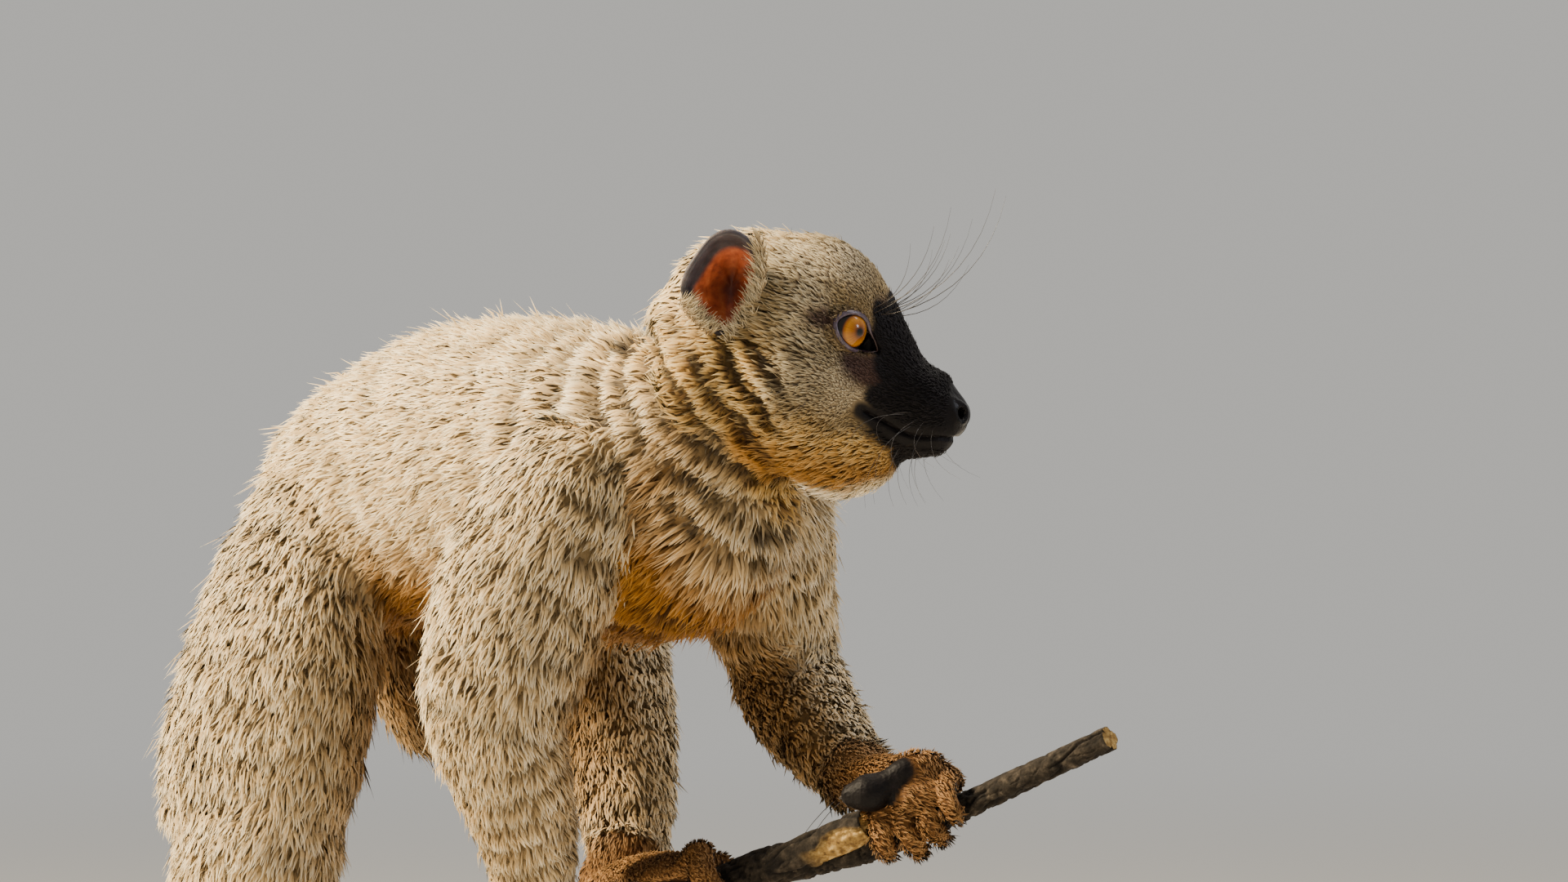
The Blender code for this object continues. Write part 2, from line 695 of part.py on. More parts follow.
# ---------------------------------------------------------------- assembly
def main():
    for obj in list(bpy.data.objects):
        bpy.data.objects.remove(obj)

    coat = material("grey_brown_coat", (0.36, 0.27, 0.165), 0.85)
    tail_coat = material("dark_tail_coat", (0.16, 0.115, 0.08), 0.85)
    paw = material("rufous_paw", (0.33, 0.15, 0.06), 0.8)
    black_skin = material("black_skin", (0.018, 0.015, 0.018), 0.5)
    ear_skin = material("dark_ear_skin", (0.10, 0.045, 0.035), 0.6)
    amber = material("amber_eye", (0.55, 0.20, 0.02), 0.08)
    bark = material("grey_bark", (0.16, 0.13, 0.10), 0.9)
    wood = material("dark_stained_wood", (0.05, 0.03, 0.02), 0.45)
    steel = material("satin_steel", (0.45, 0.45, 0.46), 0.35, 1.0)

    line = Line(BRANCH)
    branch = make_branch(line, bark)
    make_stand(branch, line, wood, steel)

    # Trunk and neck are fused; everything that grows from them is cut to their surface.
    trunk = loft("trunk", TRUNK, (0, 1, 0), sides=28, steps=3)
    neck = loft("neck", NECK, (0, 1, 0), sides=26, steps=3)
    torso = fused("torso", [trunk, neck], voxel=3.0, smoothing=5, triangles=1000)

    pieces = {}
    for limb, plan in LIMBS.items():
        upper, lower, hand = make_limb(limb, plan, line, coat, paw)
        carve(upper, torso)
        carve(lower, torso)
        carve(hand, branch)
        pieces[limb] = (upper, lower, hand)

    head, nose = part_nose(make_head())
    for piece in (head, nose):
        piece.data.transform(head_matrix())
    carve(head, torso, pieces["arm_left"][0], pieces["arm_right"][0])
    finish(nose, "nose", black_skin)
    finish(head, "head", coat)
    for side in (1, -1):
        make_eye(side, amber)
        carve(make_ear(side, ear_skin), head, torso)

    tail = loft("tail", TAIL, (0, 1, 0), sides=12, steps=2)
    tail_line = Line([row[:4] for row in TAIL])
    cuts = []
    for share in TAIL_CUTS:
        distance = share * tail_line.length
        cuts.append((tail_line.at(distance)[0] * MM, tail_line.heading(distance)))
    lengths = parted(tail, ["tail_1", "tail_2", "tail_3", "tail_4"], cuts)
    carve(lengths[0], torso, pieces["leg_left"][0], pieces["leg_right"][0])
    for number, piece in enumerate(lengths, start=1):
        finish(piece, f"tail_{number}", tail_coat)

    neck_cut, neck_way = point(95, 0, 386), Vector((0.75, 0, 0.66))
    for name, way in (("trunk", -neck_way), ("neck", neck_way)):
        piece = half(torso, name, neck_cut, way)
        keep_largest(piece)
        finish(piece, name, coat)
    discard(torso)


main()
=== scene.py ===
import math

import bpy
import bmesh
import numpy as np
from mathutils import Matrix, Vector
from mathutils.bvhtree import BVHTree
from mathutils.kdtree import KDTree


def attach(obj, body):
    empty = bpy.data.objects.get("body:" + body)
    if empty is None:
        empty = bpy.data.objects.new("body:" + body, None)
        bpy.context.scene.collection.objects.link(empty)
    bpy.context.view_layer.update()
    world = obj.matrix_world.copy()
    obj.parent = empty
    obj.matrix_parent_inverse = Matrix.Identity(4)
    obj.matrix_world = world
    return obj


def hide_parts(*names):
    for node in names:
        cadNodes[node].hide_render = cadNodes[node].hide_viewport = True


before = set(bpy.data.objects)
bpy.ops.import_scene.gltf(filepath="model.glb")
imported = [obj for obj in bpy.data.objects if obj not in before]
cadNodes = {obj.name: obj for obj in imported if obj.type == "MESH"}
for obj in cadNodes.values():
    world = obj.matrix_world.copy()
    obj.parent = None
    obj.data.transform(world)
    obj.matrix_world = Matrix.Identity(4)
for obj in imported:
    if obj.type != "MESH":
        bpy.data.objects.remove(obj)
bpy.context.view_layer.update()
mm = 0.001                      # every size below is in millimetres, turned to metres with this
rng = np.random.default_rng(11)
print("frame loaded:", len(cadNodes), "nodes")


# small tools for points, given as rows of x, y, z
def unit(rows):
    return rows / np.maximum(np.linalg.norm(rows, axis=-1, keepdims=True), 1e-9)


def ramp(values, low, high):    # 0 below low, 1 above high, eased between; high may be the lower
    share = np.clip((values - low) / (high - low), 0, 1)
    return share * share * (3 - 2 * share)


# smooth random values from -1 to 1, one lump to each size mm; each seed gives other lumps
def lumps(points, size, seed):
    place = points / size + 31.7 * seed
    cell = np.floor(place).astype(np.int64)
    part = place - cell
    part = part * part * (3 - 2 * part)
    total = np.zeros(len(points))
    for corner in np.ndindex(2, 2, 2):
        key = cell + np.array(corner)
        mixed = (key[:, 0] * 73856093) ^ (key[:, 1] * 19349663) ^ (key[:, 2] * 83492791)
        mixed = (mixed ^ (mixed >> 13)) * 1274126177 & 0x7FFFFFFF
        mixed = (mixed ^ (mixed >> 11)) * 668265263 & 0x7FFFFFFF
        share = np.prod(np.where(corner, part, 1 - part), axis=1)
        total += share * (mixed % 100003 / 50001.5 - 1)
    return total


def curvePart(a, b, c, d, steps):    # Catmull-Rom places from b up to c
    return [0.5 * (2 * b + (c - a) * t + (2 * a - 5 * b + 4 * c - d) * t ** 2
                   + (3 * b - a - 3 * c + d) * t ** 3) for t in np.arange(steps) / steps]


def smoothRows(stations, steps):    # an even curve through the stations
    rows = np.array(stations, float)
    rows = np.vstack([2 * rows[0] - rows[1], rows, 2 * rows[-1] - rows[-2]])
    made = [place for i in range(1, len(rows) - 2)
            for place in curvePart(*rows[i - 1:i + 3], steps)]
    return np.array(made + [rows[-2]])


def closedCurve(stations, steps):    # the same, run round to the first station again
    rows = np.array(stations, float)
    return np.array([place for i in range(len(rows)) for place in curvePart(
        *(rows[(i + k) % len(rows)] for k in (-1, 0, 1, 2)), steps)])


def runAlong(places):    # how far along its line each place is
    steps = np.linalg.norm(np.diff(places, axis=0), axis=1)
    return np.concatenate([[0], np.cumsum(steps)])


def toCapsule(points, start, end, radiusStart, radiusEnd):    # depth inside a tapered capsule
    start, end = np.array(start, float), np.array(end, float)
    along = end - start
    share = np.clip((points - start) @ along / max(along @ along, 1e-9), 0, 1)
    off = np.linalg.norm(points - start - share[:, None] * along, axis=1)
    return radiusStart + (radiusEnd - radiusStart) * share - off


# meshes from arrays
def fillMesh(name, points, faces):    # faces: one row per face, all with as many corners
    mesh = bpy.data.meshes.new(name)
    mesh.vertices.add(len(points))
    mesh.vertices.foreach_set("co", np.asarray(points * mm, np.float32).ravel())
    mesh.loops.add(faces.size)
    mesh.loops.foreach_set("vertex_index", np.asarray(faces, np.int32).ravel())
    mesh.polygons.add(len(faces))
    starts = np.arange(0, faces.size, faces.shape[1], dtype=np.int32)
    mesh.polygons.foreach_set("loop_start", starts)
    mesh.update(calc_edges=True)
    mesh.shade_smooth()
    return mesh


def addPiece(name, mesh, material, body="root"):
    piece = bpy.data.objects.new(name, mesh)
    bpy.context.scene.collection.objects.link(piece)
    if material:
        mesh.materials.append(material)
    if body:
        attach(piece, body)
    return piece


def readMesh(mesh):    # points in mm and triangles
    points = np.zeros(len(mesh.vertices) * 3, np.float32)
    mesh.vertices.foreach_get("co", points)
    mesh.calc_loop_triangles()
    triangles = np.zeros(len(mesh.loop_triangles) * 3, np.int32)
    mesh.loop_triangles.foreach_get("vertices", triangles)
    return points.reshape(-1, 3).astype(float) / mm, triangles.reshape(-1, 3)


def applied(piece):    # the piece with its modifiers made permanent
    graph = bpy.context.evaluated_depsgraph_get()
    mesh = bpy.data.meshes.new_from_object(piece.evaluated_get(graph))
    piece.modifiers.clear()
    piece.data = mesh
    return piece


def setValues(mesh, name, values):    # one number to each point, for the material to read
    layer = mesh.attributes.new(name, "FLOAT", "POINT")
    layer.data.foreach_set("value", np.asarray(values, np.float32).ravel())


class Web:    # which points of a mesh are joined, for smoothing over its surface
    def __init__(self, edges, count):
        ends = np.vstack([edges, edges[:, ::-1]])
        order = np.argsort(ends[:, 0], kind="stable")
        self.other = ends[order, 1]
        self.number = np.bincount(ends[:, 0], minlength=count)
        self.first = np.concatenate([[0], np.cumsum(self.number)[:-1]])

    def mean(self, values):
        total = np.add.reduceat(values[self.other], self.first, axis=0)
        return total / self.number.reshape((-1,) + (1,) * (values.ndim - 1))

    def eased(self, values, rounds, share=0.5):
        for _ in range(rounds):
            values = values + share * (self.mean(values) - values)
        return values


def webOf(mesh):
    edges = np.zeros(len(mesh.edges) * 2, np.int32)
    mesh.edges.foreach_get("vertices", edges)
    return Web(edges.reshape(-1, 2), len(mesh.vertices))


def pointNormals(points, triangles):
    a, b, c = (points[triangles[:, k]] for k in range(3))
    flat = np.cross(b - a, c - a)
    total = np.zeros_like(points)
    for k in range(3):
        for axis in range(3):
            total[:, axis] += np.bincount(triangles[:, k], flat[:, axis], len(points))
    return unit(total)


def evenTurns(sides):    # even steps round a circle, in radians
    return np.arange(sides) * 2 * np.pi / sides


# a closed round tube along the rows x, y, z, radius, with rounded ends
def tubeShell(rows, hint, sides=14, flatten=1.0):
    rows = np.asarray(rows, float)
    centres, radii = rows[:, :3], rows[:, 3]
    along = unit(np.gradient(centres, axis=0))
    across = unit(np.cross(along, np.array(hint, float)))
    up = np.cross(across, along)
    rings, points = [], []

    def addRing(centre, side, rise, radius):
        rings.append(len(points))
        for angle in evenTurns(sides):
            points.append(centre + radius * (math.cos(angle) * side
                                             + flatten * math.sin(angle) * rise))

    points.append(centres[0] - along[0] * radii[0])
    for share in (0.5, 0.87):
        addRing(centres[0] - along[0] * radii[0] * (1 - share ** 2) ** 0.5, across[0], up[0],
                radii[0] * share)
    for k in range(len(rows)):
        addRing(centres[k], across[k], up[k], radii[k])
    for share in (0.87, 0.5):
        addRing(centres[-1] + along[-1] * radii[-1] * (1 - share ** 2) ** 0.5, across[-1],
                up[-1], radii[-1] * share)
    points.append(centres[-1] + along[-1] * radii[-1])
    faces = []
    for low, high in zip(rings, rings[1:]):
        for k in range(sides):
            n = (k + 1) % sides
            faces += [(low + k, low + n, high + n), (low + k, high + n, high + k)]
    for k in range(sides):
        n = (k + 1) % sides
        faces.append((0, rings[0] + n, rings[0] + k))
        faces.append((len(points) - 1, rings[-1] + k, rings[-1] + n))
    return np.array(points), np.array(faces)


def joinShells(shells):
    points, faces, count = [], [], 0
    for shellPoints, shellFaces in shells:
        points.append(shellPoints)
        faces.append(shellFaces + count)
        count += len(shellPoints)
    return np.vstack(points), np.vstack(faces)


# where the frame's parts are: the head's own axes, the branch and the four grips
headFrame = {"centre": (137.0, 2.0, 419.5), "yaw": 47.0, "pitch": 13.0}
headTurn = np.array(Matrix.Rotation(math.radians(headFrame["yaw"]), 3, "Z")
                    @ Matrix.Rotation(math.radians(headFrame["pitch"]), 3, "Y"))
headCentre = np.array(headFrame["centre"])


def toHead(points):    # x forward, y to the animal's left, z up
    return (points - headCentre) @ headTurn


def fromHead(points):
    return np.asarray(points, float) @ headTurn.T + headCentre


branchStations = [    # x, y, z, radius
    (-150, -70, 96, 9.5), (-75, -56, 134, 9.0), (-11, -41, 166, 8.4), (53, -24, 202, 7.6),
    (112, 5, 237, 6.9), (140, 16.5, 245.5, 6.5), (160, 28, 251, 5.3), (190, 42, 265, 4.6),
    (240, 58, 287, 4.2)]
branchRows = smoothRows(branchStations, 12)
branchRun = runAlong(branchRows[:, :3])


def branchAt(distance):    # centre and radius there
    row = [np.interp(distance, branchRun, branchRows[:, k]) for k in range(4)]
    return np.array(row[:3]), row[3]


def branchHeading(distance):
    return unit(branchAt(distance + 2)[0] - branchAt(distance - 2)[0])


gripPlans = {    # wrist, heel of the palm, place on the branch, which way palm and fingers go
    "hand_left": {"end": (122, 44, 271), "heel": (128, 43, 270), "place": (177, 36),
                  "palm": (-0.15, 0.30, 1), "fingers": (0.2, -1, -0.2), "thumb": -1, "open": 52,
                  "thumbRows": [(177.5, 34, 275.4, 4.6), (177, 30, 275.6, 4.7),
                                (175, 25.5, 274.6, 4.4), (172.2, 21.8, 271.6, 3.9),
                                (169, 18.6, 268.6, 6.0), (166.2, 15.6, 267.2, 6.0),
                                (164.2, 13.4, 266.8, 4.2)]},
    "hand_right": {"end": (52, -35, 226), "heel": (51, -33, 221), "place": (54, -23),
                   "palm": (-0.1, 0, 1), "fingers": (0.1, -1, 0), "thumb": 1},
    "foot_left": {"end": (13, 27, 241), "heel": (4, 25, 228), "place": (92, -4),
                  "palm": (-0.1, 0.1, 1), "fingers": (0, 1, 0), "thumb": 1},
    "foot_right": {"end": (-112, -60, 155), "heel": (-122, -61, 142), "place": (-46, -50),
                   "palm": (-0.1, -0.1, 1), "fingers": (0, -1, 0), "thumb": 1},
}
paw = {
    "hand": {"width": 11.3, "thickness": 6.3, "lift": 8.8, "arch": 2.0, "knuckle": 38,
             "heel": 10.0, "joint": 10.5, "finger": 3.3, "thumbSize": 3.7,
             "fingers": ((12.0, 176), (3.8, 212), (-4.4, 218), (-12.6, 190)),
             "thumbPath": (14.0, -36, -128)},
    "foot": {"width": 11.4, "thickness": 4.5, "lift": 5.4, "arch": 3.0, "knuckle": 40,
             "heel": 10.0, "joint": 11.8, "finger": 3.4, "thumbSize": 4.4,
             "fingers": ((12.5, 170), (4.0, 200), (-4.6, 206), (-13.0, 184)),
             "thumbPath": (15.0, -34, -140)},
}
digitPlan = {"swell": (1.12, 1.0, 1.08, 0.96, 1.04, 1.0, 1.06),    # knuckles swell, shafts don't
             "root": 1.25, "tip": 0.96, "gap": 0.3, "lift": 1.3}    # off the bark, tip and root


def gripAxes(plan):
    off = np.hypot(branchRows[:, 0] - plan["place"][0], branchRows[:, 1] - plan["place"][1])
    distance = branchRun[int(off.argmin())]
    along = branchHeading(distance)
    palm = np.array(plan["palm"], float)
    palm = unit(palm - along * (along @ palm))
    wrap = np.array(plan["fingers"], float)
    wrap = wrap - along * (along @ wrap)
    return distance, along, palm, unit(wrap - palm * (palm @ wrap))


# palm, heel and digits of one hand or foot as closed shells; digit tips are noted for nails
def pawShells(name, plan, size, tips):
    distance, along, palm, wrap = gripAxes(plan)

    def at(offset, degrees, clearance):
        centre, radius = branchAt(distance + offset)
        angle = math.radians(degrees)
        return centre + (palm * math.cos(angle) + wrap * math.sin(angle)) * (radius + clearance)

    sign, knuckle, lift = plan["thumb"], size["knuckle"], size["lift"]
    heel, end = np.array(plan["heel"], float), np.array(plan["end"], float)
    heelSize = size["heel"] * 0.95
    middle = at(0, -4, lift)
    halfWay = (heel + middle) / 2 + palm * size["arch"]
    rows = [(*heel, size["heel"]), (*halfWay, size["width"] * 0.86), (*middle, size["width"]),
            (*at(-2 * sign, knuckle, lift * 0.62), size["width"] * 0.93)]
    shells = [tubeShell(smoothRows(rows, 4), palm, 20, size["thickness"] / size["width"]),
              tubeShell([(*heel, heelSize), (*(heel + palm), heelSize)], along, 18),
              tubeShell([(*end, size["joint"]), (*(heel * 0.6 + end * 0.4), size["heel"])],
                        along, 18)]
    digits = [(offset * -sign, 0.8, knuckle * 0.55, lift * 0.72, knuckle,
               reach - plan.get("open", 0), 0.10, size["finger"], 7)
              for offset, reach in size["fingers"]]
    offset, low, high = size["thumbPath"]
    digits.append((offset * sign, 0.5, -10, lift * 0.6, low, high, 0.20, size["thumbSize"], 6))
    if "thumbRows" in plan:    # this thumb has a path of its own
        digits.pop()
        shells.append(tubeShell(smoothRows(plan["thumbRows"], 4), palm, 16))
        rows = np.array(plan["thumbRows"], float)
        tips.append((name, rows[-1, :3], unit(rows[-1, :3] - rows[-2, :3]),
                     unit(np.array([-0.2, -0.1, 1.0])), rows[-1, 3] * 0.8))
    for offset, rootShare, rootAngle, rootLift, low, high, spread, radius, count in digits:
        path = [(*at(offset * rootShare, rootAngle, rootLift), radius * digitPlan["root"])]
        for k in range(count):
            share = k / (count - 1)
            bend = low + (high - low) * share
            thick = radius * digitPlan["swell"][k]
            clearance = thick * 0.92 + digitPlan["gap"] + digitPlan["lift"] * (1 - share)
            path.append((*at(offset * (1 + spread * share), bend, clearance), thick))
        path[-1] = (*path[-1][:3], radius * digitPlan["tip"])
        spine = smoothRows(path, 4)
        shells.append(tubeShell(spine, along, 14))
        tips.append((name, spine[-1, :3], unit(spine[-1, :3] - spine[-4, :3]),
                     unit(spine[-1, :3] - branchAt(distance + offset * (1 + spread))[0]),
                     radius))
    return shells


# the skin: every flesh part fused into one body
skinPlan = {"voxel": 1.35, "grow": 0.45, "smoothing": 10, "triangles": 158000,
            "keepFine": 40.0, "deepest": 0.33}    # deepest: share of the flesh under the coat
bodyNodes = ["head", "nose", "neck", "trunk", "upper_arm_left", "upper_arm_right",
             "forearm_left", "forearm_right", "thigh_left", "thigh_right", "shank_left",
             "shank_right", "tail_1", "tail_2", "tail_3", "tail_4"]
pawNodes = list(gripPlans)
fleshNodes = bodyNodes + pawNodes
digitTips = []


def cadShell(name, grow):    # a CAD node's surface, a little larger so that neighbours fuse
    bm = bmesh.new()
    bm.from_mesh(cadNodes[name].data)
    bmesh.ops.remove_doubles(bm, verts=bm.verts, dist=1e-6)
    bmesh.ops.triangulate(bm, faces=bm.faces)
    bm.normal_update()
    points = np.array([v.co + v.normal * grow * mm for v in bm.verts]) / mm
    faces = np.array([[v.index for v in f.verts] for f in bm.faces])
    bm.free()
    return points, faces


def makeSkin():
    shells = [cadShell(name, skinPlan["grow"]) for name in bodyNodes]
    for name, plan in gripPlans.items():
        shells += pawShells(name, plan, paw[name.split("_")[0]], digitTips)
    rough = addPiece("skin", fillMesh("skin", *joinShells(shells)), None, None)
    remesh = rough.modifiers.new("oneBody", "REMESH")
    remesh.mode, remesh.voxel_size = "VOXEL", skinPlan["voxel"] * mm
    applied(rough)
    # smoothed with as much growth as shrinkage, so that fingers keep their size
    mesh = rough.data
    web = webOf(mesh)
    points = readMesh(mesh)[0]
    for _ in range(skinPlan["smoothing"]):
        points = web.eased(points, 1, 0.62)
        points = web.eased(points, 1, -0.60)
    mesh.vertices.foreach_set("co", np.asarray(points * mm, np.float32).ravel())
    mesh.update()
    # fewer triangles where the coat hides them, all of them on face, hands and feet
    local = toHead(points)
    fine = ramp(local[:, 0], 2, 14) * (np.linalg.norm(local - (30, 0, -10), axis=1) < 60)
    for plan in gripPlans.values():
        centre = (np.array(plan["heel"]) + branchAt(gripAxes(plan)[0])[0]) / 2
        fine = np.maximum(fine, ramp(np.linalg.norm(points - centre, axis=1), 50, 42))
    group = rough.vertex_groups.new(name="coarse")
    coarse = 1 - fine
    for level in range(1, 5):
        picked = np.nonzero(np.round(coarse * 4) == level)[0]
        group.add(picked.tolist(), level / 4, "REPLACE")
    fewer = rough.modifiers.new("fewer", "DECIMATE")
    fewer.ratio = skinPlan["triangles"] / (2 * len(points))
    fewer.vertex_group, fewer.vertex_group_factor = "coarse", skinPlan["keepFine"]
    applied(rough)
    return rough


# the face, sculpted in the head's own axes; y is always the distance from the middle
eyePlan = {"centre": (23.6, 15.2, 1.7), "radius": 8.2, "gaze": 40.0, "gazeUp": 2.0,
           "iris": 41.0, "bulge": 0.9, "lid": 0.6, "lidClear": 0.75, "behind": 1.2,
           "hairClear": 0.35,    # angles in degrees; the last four are off the eyeball, in mm
           "turns": 72, "rings": 60, "reach": 140, "crowding": 1.25}    # rings crowd at the pupil
gazeTurn, gazeRise = math.radians(eyePlan["gaze"]), math.radians(eyePlan["gazeUp"])
gaze = np.array([math.cos(gazeTurn) * math.cos(gazeRise),
                 math.sin(gazeTurn) * math.cos(gazeRise), math.sin(gazeRise)])
noseward = unit(np.cross(gaze, [0, 0, 1.0]))
eyeUp = np.cross(noseward, gaze)
eyeCentre = np.array(eyePlan["centre"])
lidStations = [    # the opening between the lids, seen along the gaze: towards the nose, up
    (11.2, -4.3), (8.8, -1.0), (5.8, 2.7), (2.2, 5.1), (-1.8, 5.8), (-5.2, 4.5), (-7.1, 2.1),
    (-6.9, -0.8), (-4.8, -3.7), (-1.2, -5.5), (3.0, -6.0), (7.0, -5.7), (9.8, -5.2)]
mouthLine = np.array([    # seen from the side: forward, up
    (35.8, -22.4), (38.2, -23.2), (41, -23.8), (44.6, -24.9), (48, -26.2), (51.6, -26.8),
    (55, -26.8), (58.1, -26.2), (62.4, -25.2), (67, -24.6)])
lidCurve = closedCurve(lidStations, 6)
facePlan = {    # in the head's axes, mm: centre, spread and height of each hollow or swelling
    "hollows": (((38.5, 12.5, -4), 6.0, 2.0), ((47, 12, -10), 6.0, 1.2)),    # before the eye
    "swellings": (((56, 9.5, -20), 5.0, 0.9), ((33, 17, -13), 6.0, 0.8)),    # pad, cheek bone
    "mouth": {"deep": 1.2, "wide": 0.6, "lower": 0.55, "upper": 0.12, "away": 3.0, "spread": 2.2},
    "nostril": ((59.6, 6.6, -13.3), (65.4, 4.5, -16.4), 0.7, 1.9), "nostrilDeep": 3.1,
    "groove": 0.7}


def toLine(points, line, closed=False):    # distance to a line of points in a plane
    ends = np.roll(line, -1, axis=0) if closed else line[1:]
    starts = line if closed else line[:-1]
    best = np.full(len(points), 1e9)
    for a, b in zip(starts, ends):
        along = b - a
        share = np.clip((points - a) @ along / max(along @ along, 1e-9), 0, 1)
        best = np.minimum(best, np.linalg.norm(points - a - share[:, None] * along, axis=1))
    return best


def insideCurve(points, line):
    inside = np.zeros(len(points), bool)
    for a, b in zip(line, np.roll(line, -1, axis=0)):
        crosses = (a[1] > points[:, 1]) != (b[1] > points[:, 1])
        height = b[1] - a[1]
        at = a[0] + (points[:, 1] - a[1]) * (b[0] - a[0]) / (height if height else 1e-9)
        inside ^= crosses & (points[:, 0] < at)
    return inside


def eyeView(face):    # noseward, up and outward from the eyeball's centre
    off = face - eyeCentre
    return off @ noseward, off @ eyeUp, off @ gaze


def lidDistance(face):    # beyond the edge of the opening; negative inside it
    across, up, out = eyeView(face)
    flat = np.column_stack([across, up])
    result = np.full(len(face), 99.0)
    near = (np.hypot(across, up) < 22) & (out > -9)
    away = toLine(flat[near], lidCurve, True)
    result[near] = np.where(insideCurve(flat[near], lidCurve), -away, away)
    return result


def lidHeight(across, up):    # how far out the lid's edge stands
    squared = (eyePlan["radius"] + 0.55) ** 2 - across ** 2 - up ** 2
    ball = np.sqrt(np.maximum(squared, 0))
    return ball + (6.7 - ball) * ramp(across, 4.5, 9.5)    # flatter towards the inner corner


def mirrored(points):
    local = toHead(points)
    side = np.where(local[:, 1] < 0, -1.0, 1.0)
    local[:, 1] *= side
    return local, side


def unmirrored(face, side):
    local = face.copy()
    local[:, 1] *= side
    return fromHead(local)


def bump(face, centre, size):    # 1 at the centre, fading over about that many mm
    return np.exp(-0.5 * (np.linalg.norm(face - np.array(centre), axis=1) / size) ** 2)


# the ears are bowls: rim places in the head's axes, and how deep the bowl goes
earPlan = {
    "middle": (-13.4, 6.6), "deep": 18.5, "wall": 1.1, "rim": 1.9, "wave": 0.5, "sides": 72,
    "folds": ((1.3, 1.15, 0.16), (1.0, 2.2, 0.2)),    # height, angle and half width
    "rimPlaces": [
        (-3.4, 26.6, 6.4), (-3.4, 29.2, 13.4), (-5.6, 32.2, 19.4), (-9.8, 34.9, 23.0),
        (-14.8, 36.6, 24.0), (-19.6, 37.4, 21.2), (-22.9, 37.6, 15.2), (-25.6, 36.8, 7.4),
        (-25.4, 34.8, 1.0), (-20.4, 31.0, -4.6), (-13.2, 26.8, -8.4), (-7.6, 25.4, -7.2),
        (-4.6, 25.4, -0.8)]}
earLoop = closedCurve(earPlan["rimPlaces"], 8)
earAngles = np.arctan2(earLoop[:, 2] - earPlan["middle"][1],
                       earLoop[:, 0] - earPlan["middle"][0]) % (2 * np.pi)
earLoop, earAngles = earLoop[np.argsort(earAngles)], np.sort(earAngles)


def earRim(angle):    # the rim's places at angles round the ear
    return np.stack([np.interp(angle, earAngles, earLoop[:, k], period=2 * np.pi)
                     for k in range(3)], axis=-1)


def earPoint(share, angle):    # share of the way from the middle of the bowl to its rim
    rim = earRim(angle)
    middle = np.array([earPlan["middle"][0], 0, earPlan["middle"][1]])
    place = middle + (rim - middle) * share[..., None]
    place[..., 1] = earPlan["deep"] + (rim[..., 1] - earPlan["deep"]) * share ** 1.5
    return place


def earShare(face):    # the same share for points of the head, seen from the side
    x, z = face[:, 0] - earPlan["middle"][0], face[:, 2] - earPlan["middle"][1]
    angle = np.arctan2(z, x) % (2 * np.pi)
    rim = earRim(angle)[:, [0, 2]] - earPlan["middle"]
    share = np.hypot(x, z) / np.hypot(rim[:, 0], rim[:, 1])
    return np.where(face[:, 1] > 8, share, 9.0), angle


